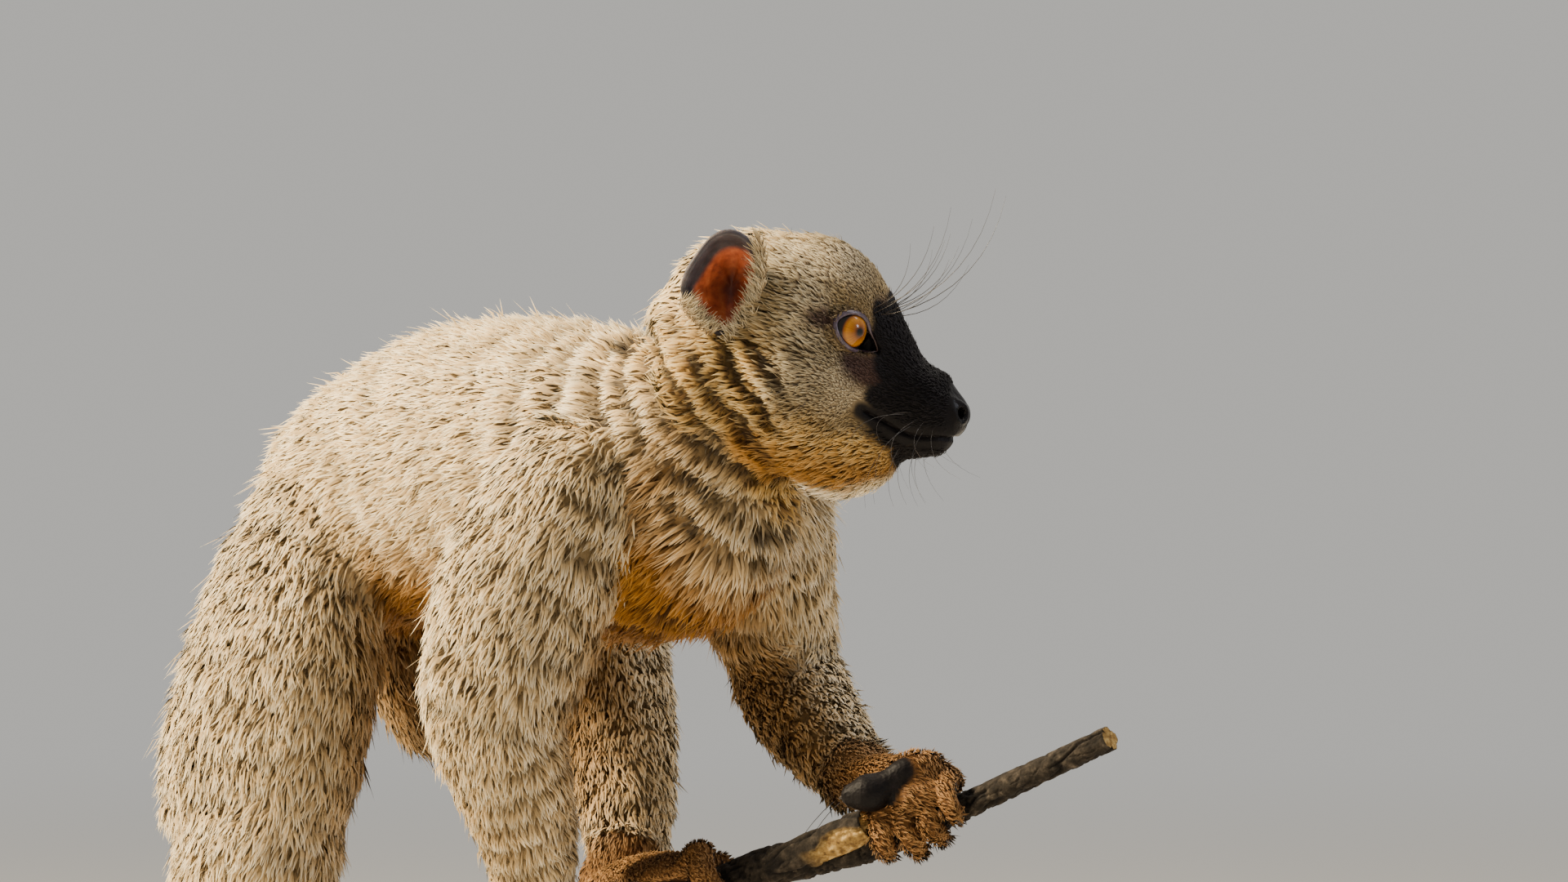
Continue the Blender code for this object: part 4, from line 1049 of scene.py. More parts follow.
# seven points to a lock: two rings of three and a tip; with its normals
def raiseLocks(roots, middle, tip, way, normals, width):
    total = len(roots)
    side = np.cross(way, normals)
    roll = rng.normal(0, 0.5, total)[:, None]
    across = unit(side * np.cos(roll) + normals * np.sin(roll))
    above = unit(np.cross(across, way))
    above *= np.sign(np.sum(above * normals, axis=1, keepdims=True) + 1e-9)
    across = np.cross(way, above)
    wide = width[:, None] / 2
    ring = [across, -across, above * 0.62]
    root = roots - normals * np.minimum(0.6, 0.3 * width)[:, None]
    body = np.stack([root + ring[k] * wide * 0.72 for k in range(3)]
                    + [middle + ring[k] * wide for k in range(3)] + [tip], axis=1)
    outward = [unit(0.66 * normals + 0.34 * unit(ring[k])) for k in range(3)]
    return body, np.stack(outward + outward + [unit(normals + 0.2 * way)], axis=1)


lockFaces = np.array([(0, 2, 1), (0, 1, 4), (0, 4, 3), (1, 2, 5), (1, 5, 4), (2, 0, 3),
                      (2, 3, 5), (3, 4, 6), (4, 5, 6), (5, 3, 6)])
lockAlong = np.array([0, 0, 0, 0.5, 0.5, 0.5, 1.0])
lockAcross = np.array([-1, 1, 0, -1, 1, 0, 0.0])
lockPatch = np.array([(-1, 0), (1, 0), (0, -0.5), (-1, 1), (1, 1), (0.2, 1.2), (0, 2)])
lockPoints = len(lockAlong)


def lockPiece(label, body, lean, values, mapped, material):    # one object of many locks
    count = len(body)
    faces = (lockFaces[None] + lockPoints * np.arange(count)[:, None, None]).reshape(-1, 3)
    mesh = fillMesh(label, body.reshape(-1, 3), faces)
    mesh.normals_split_custom_set_from_vertices(lean.reshape(-1, 3))
    for key, each in values.items():    # one number to each point of a lock, or to each lock
        setValues(mesh, key, each if np.size(each) > count else np.repeat(each, lockPoints))
    setValues(mesh, "along", np.tile(lockAlong, count))
    setValues(mesh, "across", np.tile(lockAcross, count))
    spots = mapped[:, None] + lockPatch[None] * locks["patch"] / 2.5
    layer = mesh.uv_layers.new(name="OFBake")
    layer.data.foreach_set("uv", spots.reshape(-1, 2)[faces.ravel()].astype(np.float32).ravel())
    print("  ", label, count, "locks")
    return addPiece(label, mesh, material)


# where the locks are rooted: triangles' corners with the weight of each
def scatterRoots(info):
    points, triangles, part = info["points"], info["triangles"], info["part"]
    a, b, c = (points[triangles[:, k]] for k in range(3))
    area = np.linalg.norm(np.cross(b - a, c - a), axis=1) / 2
    wanted = info["values"][:, 3] * 0.01 * (1 - info["bare"]) * locks["number"]
    wanted[info["bare"] > 0.5] = 0
    share = area * wanted[triangles].mean(axis=1)
    run = np.cumsum(share)
    total = int(run[-1])
    pick = np.searchsorted(run, (np.arange(total) + rng.random(total)) * run[-1] / total)
    pick = np.minimum(pick, len(triangles) - 1)
    u, v = rng.random(total), rng.random(total)
    flip = u + v > 1
    u[flip], v[flip] = 1 - u[flip], 1 - v[flip]
    weights = np.column_stack([1 - u - v, u, v])
    corners = triangles[pick]
    # hardly any hair is rooted where the coat opens
    place = np.einsum("nk,nk...->n...", weights, points[corners])
    turn, _, strength = bands(place, part[corners[:, 0]], info["ways"])
    turn -= np.floor(turn)
    missing = opening["thin"] * strength * ramp(turn, 0, 0.04) * ramp(turn, 0.36, 0.24)
    kept = rng.random(total) > missing
    reach = np.linalg.norm(mirrored(place)[0] - eyeCentre, axis=1)
    kept &= reach > eyePlan["radius"] + eyePlan["hairClear"]    # none under the eyeball
    return weights[kept], corners[kept]


def gatherClumps(roots, middle, tip, length):    # neighbours lean together into clumps
    total = len(roots)
    leaders = rng.choice(total, total // locks["clump"], replace=False)
    tree = KDTree(len(leaders))
    for number, place in enumerate(roots[leaders].tolist()):
        tree.insert(place, number)
    tree.balance()
    chief = leaders[[tree.find(p)[1] for p in roots.tolist()]]
    pull = (locks["pull"] * rng.uniform(0.4, 1.1, total) * (length > 3))[:, None]
    reach = length[:, None] * 0.6
    draw = tip[chief] - tip
    draw *= np.minimum(1, reach / np.maximum(np.linalg.norm(draw, axis=1, keepdims=True), 1e-6))
    return middle + draw * pull * 0.28, tip + draw * pull


def growCoat(info, material):
    weights, corners = scatterRoots(info)
    total = len(corners)

    def at(values):
        return np.einsum("nk,nk...->n...", weights, values[corners])

    roots, normals = at(info["points"]), unit(at(info["normals"]))
    way = at(info["flow"])
    way = unit(way - normals * np.sum(way * normals, axis=1, keepdims=True))
    length, width = at(info["values"][:, 1]), at(info["values"][:, 2])
    marks = {name: at(values) for name, values in info["marks"].items()}
    opened = at(info["parting"])
    owner = info["part"][corners[np.arange(total), weights.argmax(axis=1)]]
    side = np.cross(way, normals)
    sway = rng.normal(0, locks["sway"], total) + 0.25 * lumps(roots, 7, 20)
    way = unit(way + side * sway[:, None])
    stray = rng.random(total) < locks["strays"]
    # a lock that would reach past the end of its band ends there and stands up a little
    turn, band, strength = bands(roots, owner, info["ways"])
    left = (1 - turn + np.floor(turn)) * band + rng.normal(0, 0.7, total)
    ending = strength * (length > left)
    length = length * rng.uniform(*locks["size"], total) * np.where(
        stray, locks["strayLength"], 1)
    length += (np.maximum(left + 0.6, 0.42 * length) - length) * ending
    width = width * rng.uniform(*locks["size"], total) * np.where(
        stray, locks["strayWidth"], 1)
    flat = ramp(length, 1.5, 6)
    liftRoot = np.radians(locks["liftRoot"] * (0.55 + 0.45 * flat) + rng.normal(0, 7, total)
                          + 14 * ending + np.where(stray, 10, 0))
    liftTip = np.radians(locks["liftTip"] * (0.6 + 0.4 * flat) + rng.normal(0, 8, total)
                         + 10 * ending + np.where(stray, 14, 0))
    half = length[:, None] / 2
    middle = roots + half * (np.cos(liftRoot)[:, None] * way + np.sin(liftRoot)[:, None] * normals)
    tip = middle + half * (np.cos(liftTip)[:, None] * way + np.sin(liftTip)[:, None] * normals)
    middle, tip = gatherClumps(roots, middle, tip, length)
    # the coat sinks where it opens
    inMiddle = partings(middle, owner, info["ways"])
    inTip = partings(tip, owner, info["ways"])
    drop = np.minimum(length * 0.2, 2.2)[:, None]
    middle = middle - normals * drop * 0.6 * inMiddle[:, None]
    tip = tip - normals * drop * inTip[:, None]
    body, lean = raiseLocks(roots, middle, tip, way, normals, width)
    opened = np.stack([opened] * 3 + [inMiddle] * 3 + [inTip], axis=1)
    ticking = np.where(onParts(owner, "trunk", "thigh", "shank"), locks["plainTicks"], 1.0)
    ticking *= 1 - np.maximum.reduce([marks["black"], marks["cream"], marks["belly"],
                                      0.6 * marks["rufous"]])
    shade = rng.random(total)
    values = dict(marks, ticking=ticking, shade=shade, parting=opened)
    for name, nodes in coatPieces.items():
        numbers = [fleshNodes.index(node) for node in nodes]
        mine = np.nonzero(np.isin(owner, numbers))[0]
        place = unwrapped(roots[mine], owner[mine], nodes)
        pieces = math.ceil(len(mine) / locks["most"])
        order = np.argsort(place[:, 1], kind="stable")
        for number, rows in enumerate(np.array_split(order, pieces), start=1):
            chosen = mine[rows]
            piece = lockPiece(name if pieces == 1 else f"{name}_{number}", body[chosen],
                              lean[chosen], {key: each[chosen] for key, each in values.items()},
                              place[rows], material)


# Eyeballs: a globe with the clear front part standing out, the iris drawn by angle.
def makeEye(name, sign, material):
    turns, rings = eyePlan["turns"], eyePlan["rings"]
    points = [eyeCentre + gaze * (eyePlan["radius"] + eyePlan["bulge"])]
    angles, rounds = [0.0], [0.0]
    for j in range(1, rings):
        angle = eyePlan["reach"] * (j / (rings - 1)) ** eyePlan["crowding"]
        bulge = eyePlan["bulge"] * float(ramp(np.array(angle), eyePlan["iris"] + 5, 4))
        reach = eyePlan["radius"] + bulge
        for k in range(turns):
            turn = 2 * math.pi * k / turns
            way = (math.cos(turn) * noseward + math.sin(turn) * eyeUp) * math.sin(
                math.radians(angle)) + gaze * math.cos(math.radians(angle))
            points.append(eyeCentre + way * reach)
            angles.append(angle)
            rounds.append(turn)
    faces = [(0, 1 + k, 1 + (k + 1) % turns) for k in range(turns)]
    for j in range(rings - 2):
        for k in range(turns):
            a, b = 1 + j * turns + k, 1 + j * turns + (k + 1) % turns
            faces += [(a, a + turns, b + turns), (a, b + turns, b)]
    points.append(eyeCentre - gaze * eyePlan["radius"])
    angles.append(180.0)
    rounds.append(0.0)
    last = 1 + (rings - 2) * turns
    faces += [(last + k, len(points) - 1, last + (k + 1) % turns) for k in range(turns)]
    points, faces = np.array(points), np.array(faces)
    points = unmirrored(points, sign)
    mesh = fillMesh(name, points, faces if sign > 0 else faces[:, ::-1])
    setValues(mesh, "angle", angles)
    setValues(mesh, "fibreX", np.cos(rounds))
    setValues(mesh, "fibreY", np.sin(rounds))
    piece = addPiece(name, mesh, material)
    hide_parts("eye_left" if sign > 0 else "eye_right")


# Glass eye of a museum model: painted orange iris under a thick clear glaze, so it looks wet.
def makeEyeMaterial():
    material, tree, shader = newMaterial("glazedGlassEye")
    share = addNode(tree, "MapRange", {"From Max": 60.0}, {"Value": "angle"})
    around = addNode(tree, "CombineXYZ", links={"X": "fibreX", "Y": "fibreY"})
    spokes = addNode(tree, "TexNoise", {"Scale": 9.0, "Detail": 5.0, "Roughness": 0.7}, {
        "Vector": around.outputs["Vector"]})
    # the iris edge and the pupil are a little uneven, by half a degree or so
    wobble = addNode(tree, "Math", {"operation": "MULTIPLY_ADD", 1: 0.05, 2: -0.025}, {
        0: spokes.outputs["Fac"]})
    reach = addNode(tree, "Math", {"operation": "ADD"}, {
        0: share.outputs["Result"], 1: wobble.outputs["Value"]})
    iris = addNode(tree, "ValToRGB", {"stops": [
        (0.0, "#020101"), (0.105, "#020101"), (0.135, "#3c1a02"), (0.25, "#7e4600"),
        (0.50, "#a86c02"), (0.61, "#7c4300"), (0.665, "#1c0c03"), (0.72, "#0c0706")]}, {
            "Fac": reach.outputs["Value"]})
    fibres = addNode(tree, "MapRange", {"From Min": 0.3, "From Max": 0.7, "To Min": 0.62,
                                        "To Max": 1.25}, {"Value": spokes.outputs["Fac"]})
    colour = addNode(tree, "VectorMath", {"operation": "SCALE"}, {
        0: iris.outputs["Color"], "Scale": fibres.outputs["Result"]})
    addNode(tree, shader, {
        "Roughness": 0.45, "Specular IOR Level": 0.1, "Coat Weight": 0.85,
        "Coat Roughness": 0.01, "Coat IOR": 1.38}, {"Base Color": colour.outputs["Vector"]})
    return material


lidPlan = {"upper": 0.85, "lower": 0.70, "corner": 0.45,    # half the thickness of the bare rim
           "sides": 10, "flatten": 0.8}


def makeLids(name, sign, material):
    across, up = lidCurve.T
    centres = (eyeCentre + across[:, None] * noseward + up[:, None] * eyeUp
               + (lidHeight(across, up) - 0.05)[:, None] * gaze)
    radii = lidPlan["lower"] + (lidPlan["upper"] - lidPlan["lower"]) * ramp(up, -2, 3)
    radii = radii + (lidPlan["corner"] - radii) * ramp(across, 6.5, 10.5)
    along = unit(np.roll(centres, -1, axis=0) - np.roll(centres, 1, axis=0))
    outward = unit(centres - eyeCentre)
    side = unit(np.cross(along, outward))
    sides, count = lidPlan["sides"], len(centres)
    turn = evenTurns(sides)
    points = (centres[:, None] + radii[:, None, None] * (
        np.cos(turn)[None, :, None] * side[:, None]
        + lidPlan["flatten"] * np.sin(turn)[None, :, None] * outward[:, None])).reshape(-1, 3)
    faces = []
    for j in range(count):
        for k in range(sides):
            a, b = j * sides + k, j * sides + (k + 1) % sides
            c, d = (a + sides) % len(points), (b + sides) % len(points)
            faces += [(a, b, d), (a, d, c)]
    faces = np.array(faces)
    mesh = fillMesh(name, unmirrored(points, sign), faces if sign < 0 else faces[:, ::-1])
    setValues(mesh, "corner", np.repeat(ramp(across, 5.5, 9.5), sides))
    addPiece(name, mesh, material)


# Moist lid rim: smooth thin skin, purple-grey, browner at the inner corner.
def makeLidMaterial():
    material, tree, shader = newMaterial("moistLidSkin")
    place = addNode(tree, "TexCoord").outputs["Object"]
    grain = addNode(tree, "TexNoise", {"Scale": 1 / 0.0012, "Detail": 3.0}, {"Vector": place})
    rim = addNode(tree, "ValToRGB", {"stops": [
        (0.3, "#2f2631"), (0.6, "#4c3f4c"), (0.8, "#6a5a68")]}, {"Fac": grain.outputs["Fac"]})
    mixed = addNode(tree, "Mix", {"data_type": "RGBA", 7: "#2c1511"}, {
        0: "corner", 6: rim.outputs["Color"]})
    relief = addNode(tree, "Bump", {"Strength": 0.3, "Distance": 0.0002}, {
        "Height": grain.outputs["Fac"]})
    addNode(tree, shader, {"Roughness": 0.33}, {
        "Base Color": mixed.outputs[2], "Normal": relief.outputs["Normal"]})
    return material


# Ears: bowls with a rolled rim, sunk in the side of the head.
def makeEar(name, sign, material):
    sides = earPlan["sides"]
    angles = evenTurns(sides)
    rim = earRim(angles)
    shares = np.concatenate([np.linspace(0, 0.86, 24)[1:], np.linspace(0.88, 1.0, 7)])
    rows = []
    for share in shares:
        place = earPoint(np.full(sides, share), angles)
        # folds that run up the inside, and a wavy edge
        fold = sum(high * np.exp(-((angles - at) / wide) ** 2)
                   for high, at, wide in earPlan["folds"])
        place[:, 1] += fold * math.sin(math.pi * min(1, share * 1.15)) ** 2
        place[:, 1] += earPlan["wave"] * np.sin(angles * 5) * share ** 6
        rows.append(place)
    sheet = np.array(rows)
    normal = np.cross(np.gradient(sheet, axis=0), np.roll(sheet, -1, 1) - np.roll(sheet, 1, 1))
    normal = unit(normal) * np.where(normal[..., 1] < 0, -1, 1)[..., None]
    wall = earPlan["wall"] + (earPlan["rim"] - earPlan["wall"]) * ramp(shares, 0.84, 0.97)
    front = sheet + normal * wall[:, None, None] / 2
    back = sheet - normal * wall[:, None, None] / 2
    lip = rim + unit(rim - sheet[-5]) * wall[-1] * 0.45
    deep = earPoint(np.zeros(1), np.zeros(1))
    points = np.vstack([front.reshape(-1, 3), back.reshape(-1, 3), lip,
                        deep + (0, wall[0] / 2, 0), deep - (0, wall[0] / 2, 0)])
    half, faces = len(shares) * sides, []
    for k in range(sides):
        n = (k + 1) % sides
        for j in range(len(shares) - 1):
            a, b = j * sides + k, j * sides + n
            c, d = a + sides, b + sides
            faces += [(a, c, d), (a, d, b), (half + a, half + d, half + c),
                      (half + a, half + b, half + d)]
        e, f = half - sides + k, half - sides + n
        g, h = 2 * half + k, 2 * half + n
        faces += [(e, g, h), (e, h, f), (half + e, h, g), (half + e, half + f, h),
                  (2 * half + sides, k, n), (2 * half + sides + 1, half + n, half + k)]
    mesh = fillMesh(name, unmirrored(points, sign), np.array(faces))
    tidy = bmesh.new()
    tidy.from_mesh(mesh)
    bmesh.ops.recalc_face_normals(tidy, faces=tidy.faces)
    tidy.to_mesh(mesh)
    tidy.free()
    # the rear rim rolls over and shows a broad dark band; the front one is narrow
    rear = ramp(np.cos(angles - 2.35), 0.2, 0.9)
    dark = ramp(shares[:, None] + 0.13 * rear[None], 0.80, 0.92).ravel()
    setValues(mesh, "inside", np.concatenate([np.ones(half), np.zeros(half),
                                              np.full(sides, 0.3), [1, 0]]))
    setValues(mesh, "rim", np.concatenate([dark, dark, np.ones(sides), [0, 0]]))
    setValues(mesh, "deep", np.concatenate([np.repeat(1 - shares, sides),
                                            np.zeros(half + sides), [1, 0]]))
    piece = addPiece(name, mesh, material)
    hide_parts("ear_left" if sign > 0 else "ear_right")


# Thin ear skin: blood shows through it, so the inside is warm and the thick rim dark.
def makeEarMaterial():
    material, tree, shader = newMaterial("thinEarSkin")
    place = addNode(tree, "TexCoord").outputs["Object"]
    grain = addNode(tree, "TexNoise", {"Scale": 1 / 0.0035, "Detail": 4.0}, {"Vector": place})
    inner, outer = (addNode(tree, "ValToRGB", {"stops": stops}, {
        "Fac": grain.outputs["Fac"]}).outputs["Color"] for stops in (
            [(0.3, "#7a2f14"), (0.55, "#b4552a"), (0.8, "#cf7a45")],
            [(0.3, "#2b2529"), (0.6, "#40383c"), (0.8, "#5a5053")]))
    sides = addNode(tree, "Mix", {"data_type": "RGBA"}, {0: "inside", 6: outer, 7: inner})
    # painted shade: the deep middle of the bowl darkens towards dark red-brown
    hollow = addNode(tree, "MapRange", {"From Min": 0.35, "From Max": 0.85, "To Max": 0.85}, {
        "Value": "deep"})
    shaded = addNode(tree, "Mix", {"data_type": "RGBA", 7: "#3d0f08"}, {
        0: hollow.outputs["Result"], 6: sides.outputs[2]})
    mixed = addNode(tree, "Mix", {"data_type": "RGBA"}, {
        0: "rim", 6: shaded.outputs[2], 7: outer})
    # fine wrinkles about 0.6 mm apart
    fine = addNode(tree, "TexNoise", {"Scale": 1 / 0.0006, "Detail": 2.0}, {"Vector": place})
    relief = addNode(tree, "Bump", {"Strength": 0.3, "Distance": 0.0002}, {
        "Height": fine.outputs["Fac"]})
    addNode(tree, shader, {
        "Roughness": 0.55, "Subsurface Weight": 0.25, "Subsurface Radius": (1.0, 0.35, 0.2),
        "Subsurface Scale": 0.0015}, {
            "Base Color": mixed.outputs[2], "Normal": relief.outputs["Normal"]})
    return material


# Hair at the ear: from and to in degrees round it and as shares of its radius, its length in
# mm, how many locks, how pale, and the way it lies with how far it follows the rim. Hair
# without a way points outward.
earHair = {
    "front": {"turn": (-75, 62), "share": (0.95, 1.22), "length": 7.5, "number": 620,
              "pale": 0.75, "way": (-0.5, 0.45, 0.62), "follow": 0.25},
    "rear": {"turn": (214, 266), "share": (0.97, 1.16), "length": 5.6, "number": 300,
             "pale": 0.75, "way": (0.45, 0.55, 0.62), "follow": -0.1},
    "edge": {"turn": (66, 205), "share": (0.98, 1.01), "length": 1.2, "number": 160, "pale": 0.3},
    "inner": {"turn": (-50, 60), "share": (0.60, 0.92), "length": 4.0, "number": 70,
              "pale": 0.75, "way": (-0.55, 0.5, 0.5), "follow": 0.1},
    "backside": {"turn": (60, 215), "share": (0.45, 0.90), "length": 2.2, "number": 460,
                 "pale": 0.3},
}
earLocks = {"sway": 0.24, "size": (0.55, 1.2), "widest": 0.34, "slender": 0.08, "ticks": 0.3}


def makeEarHair(name, sign, material):
    lists = {key: [] for key in ("roots", "way", "out", "length", "pale")}
    for key, plan in earHair.items():
        number = plan["number"]
        angle = np.radians(rng.uniform(*plan["turn"], number))
        share = rng.uniform(*plan["share"], number)
        here = earPoint(share, angle)
        outward = unit(earPoint(share + 0.05, angle) - here)
        back = key == "backside"
        out = np.tile([0.15, -1.0 if back else 1.0, 0.1], (number, 1))
        if "way" in plan:
            way = unit(np.array(plan["way"]) + plan["follow"] * outward)
        else:
            way = unit(outward + 0.2 * out)
        lists["roots"].append(here - out * (-0.3 if back else 0.4))
        lists["way"].append(unit(way + rng.normal(0, earLocks["sway"], (number, 3))))
        lists["out"].append(unit(out - way * np.sum(out * way, axis=1, keepdims=True)))
        lists["length"].append(plan["length"] * rng.uniform(*earLocks["size"], number))
        lists["pale"].append(np.full(number, plan["pale"]))
    roots, way, out, length, pale = (np.concatenate(lists[key]) for key in lists)
    count = len(roots)
    width = np.minimum(earLocks["widest"], earLocks["slender"] * length)
    width = width * rng.uniform(0.7, 1.3, count)
    middle = roots + way * length[:, None] * 0.5 + out * 0.08 * length[:, None]
    tip = roots + way * length[:, None] + rng.normal(0, 0.05, (count, 3)) * length[:, None]
    body, lean = raiseLocks(roots, middle, tip, way, out, width)
    if sign < 0:    # mirrored, so left and right points of a lock change places
        swapped = [1, 0, 2, 4, 3, 5, 6]
        body, lean = body[:, swapped], lean[:, swapped]
    lean = (lean * np.array([1, sign, 1])) @ headTurn.T
    values = {key: np.zeros(count) for key in furTints if key != "plain"}
    values.update(pale=pale, parting=np.zeros(count), shade=rng.random(count),
                  ticking=np.full(count, earLocks["ticks"]))
    mapped = np.column_stack([0.04 + 0.92 * rng.random(count), 0.04 + 0.9 * rng.random(count)])
    body = unmirrored(body.reshape(-1, 3), sign).reshape(body.shape)
    lockPiece(name, body, lean, values, mapped, material)


# Nails: flat, dark, a little longer than the finger pads.
nailPlan = {"length": 6.2, "width": 0.62, "rise": 0.62, "flatten": 0.42,
            "outline": ((0, 0.8), (0.25, 1.0), (0.5, 1.0), (0.75, 0.9), (1.0, 0.55)),
            "finger": 2.8}    # the digit radius that the length is for


def makeNails(material):
    for hand in pawNodes:
        shells = []
        for name, tip, way, outward, radius in digitTips:
            if name != hand:
                continue
            start = tip - way * (radius * 0.9) + outward * radius * nailPlan["rise"]
            scale = (radius / nailPlan["finger"]) ** 0.5
            rows = []
            for share, wide in nailPlan["outline"]:
                place = (start + way * nailPlan["length"] * share * scale
                         - outward * radius * nailPlan["rise"] * share ** 2)
                rows.append((*place, radius * nailPlan["width"] * wide))
            shells.append(tubeShell(smoothRows(rows, 3), outward, 12, nailPlan["flatten"]))
        mesh = fillMesh(f"nails_{hand}", *joinShells(shells))
        addPiece(f"nails_{hand}", mesh, material)


# Nail horn: smooth, close-grained; a soft shine.
def makeNailMaterial():
    material, tree, shader = newMaterial("nailHorn")
    place = addNode(tree, "TexCoord").outputs["Object"]
    grain = addNode(tree, "TexNoise", {"Scale": 1 / 0.0015, "Detail": 3.0}, {"Vector": place})
    tint = addNode(tree, "ValToRGB", {"stops": [(0.3, "#17120f"), (0.7, "#3a2f28")]}, {
        "Fac": grain.outputs["Fac"]})
    addNode(tree, shader, {"Roughness": 0.32}, {"Base Color": tint.outputs["Color"]})
    return material


# Whiskers: root, tip and how far each one bows, in the head's axes; mm.
whiskerRows = [
    ((33, 13, 11), (46, 24, 40), 4, 0.17), ((34, 11, 11.5), (50, 20, 36), 4, 0.16),
    ((35, 13, 9), (54, 27, 30), 5, 0.17), ((32, 15, 10), (41, 33, 33), 4, 0.15),
    ((36, 10, 10), (62, 20, 56), 8, 0.17), ((33, 15, 9), (52, 33, 46), 6, 0.15),
    ((53, 9.5, -19), (48, 44, -30), 6, 0.10), ((55, 9, -20), (55, 42, -38), 6, 0.10),
    ((57, 8.5, -19), (66, 38, -34), 6, 0.10), ((54, 9, -22), (50, 36, -46), 6, 0.10),
    ((59, 7.5, -20), (74, 30, -36), 5, 0.10), ((51, 10, -20), (38, 42, -36), 6, 0.10),
    ((57, 8, -22), (64, 28, -46), 5, 0.10), ((50, 6, -30), (52, 16, -50), 3, 0.13),
    ((46, 6, -31), (44, 18, -52), 3, 0.13), ((55, 4, -29), (60, 12, -48), 3, 0.10),
    ((28, 21, -19), (16, 44, -36), 4, 0.13), ((26, 22, -17), (10, 46, -26), 4, 0.13)]
wristRows = [    # a few long hairs on the inner side of each wrist: root and tip
    ((126, 33, 262), (118, 14, 234)), ((127, 35, 262), (124, 16, 236)),
    ((55, -45, 224), (48, -62, 204)), ((57, -45, 223), (56, -64, 206))]
whiskerPlan = {"taper": 0.8, "sides": 5, "stray": 0.6, "wristRadius": 0.15, "wristBow": 3.0}


def makeWhiskers(name, material):
    shells, taper, sides = [], whiskerPlan["taper"], whiskerPlan["sides"]
    for sign in (1, -1):
        for root, tip, bow, radius in whiskerRows:
            root, tip = np.array(root, float), np.array(tip, float)
            share = np.linspace(0, 1, 9)[:, None]
            sag = unit(np.cross(tip - root, [0, 1.0, 0.3])) * bow
            path = root + (tip - root) * share - sag * 4 * share * (1 - share)
            path = path + rng.normal(0, whiskerPlan["stray"], 3) * share
            rows = np.column_stack([unmirrored(path, sign), radius * (1 - taper * share[:, 0])])
            shells.append(tubeShell(rows, (0.1, 0.2, 1), sides))
    for root, tip in wristRows:
        share = np.linspace(0, 1, 7)
        path = np.array(root) + (np.array(tip) - np.array(root)) * share[:, None]
        path[:, 2] += whiskerPlan["wristBow"] * (4 * share * (1 - share))
        radii = whiskerPlan["wristRadius"] * (1 - taper * share)
        shells.append(tubeShell(np.column_stack([path, radii]), (0.1, 1, 0.2), sides))
    addPiece(name, fillMesh(name, *joinShells(shells)), material)


# Whisker: stiff smooth hair, brighter than the fur where light runs along it.
def makeWhiskerMaterial():
    material, tree, shader = newMaterial("stiffWhiskerHair")
    place = addNode(tree, "TexCoord").outputs["Object"]
    grain = addNode(tree, "TexNoise", {"Scale": 1 / 0.012}, {"Vector": place})
    tint = addNode(tree, "ValToRGB", {"stops": [(0.35, "#15110f"), (0.65, "#39322c")]}, {
        "Fac": grain.outputs["Fac"]})
    addNode(tree, shader, {"Roughness": 0.35}, {"Base Color": tint.outputs["Color"]})
    return material


# The perch: a branch with cracked bark, sawn ends, and the broken stub of a side stem.
barkPlan = {"crack": 0.95, "plate": 4.2, "stretch": 0.62,    # depth, width, pull lengthwise
            "step": 1.0, "sides": 84, "endRings": 10, "sawMarks": 0.12,
            "torn": (0.1, -0.35, -0.93), "tornDeep": 1.1}    # the side that is split off
stubStations = [(126, 8, 241, 5.2), (134, 11, 244.5, 6.2), (146, 15, 250, 6.6),
                (157, 18.5, 254.5, 6.4), (163, 20.5, 257, 5.4)]


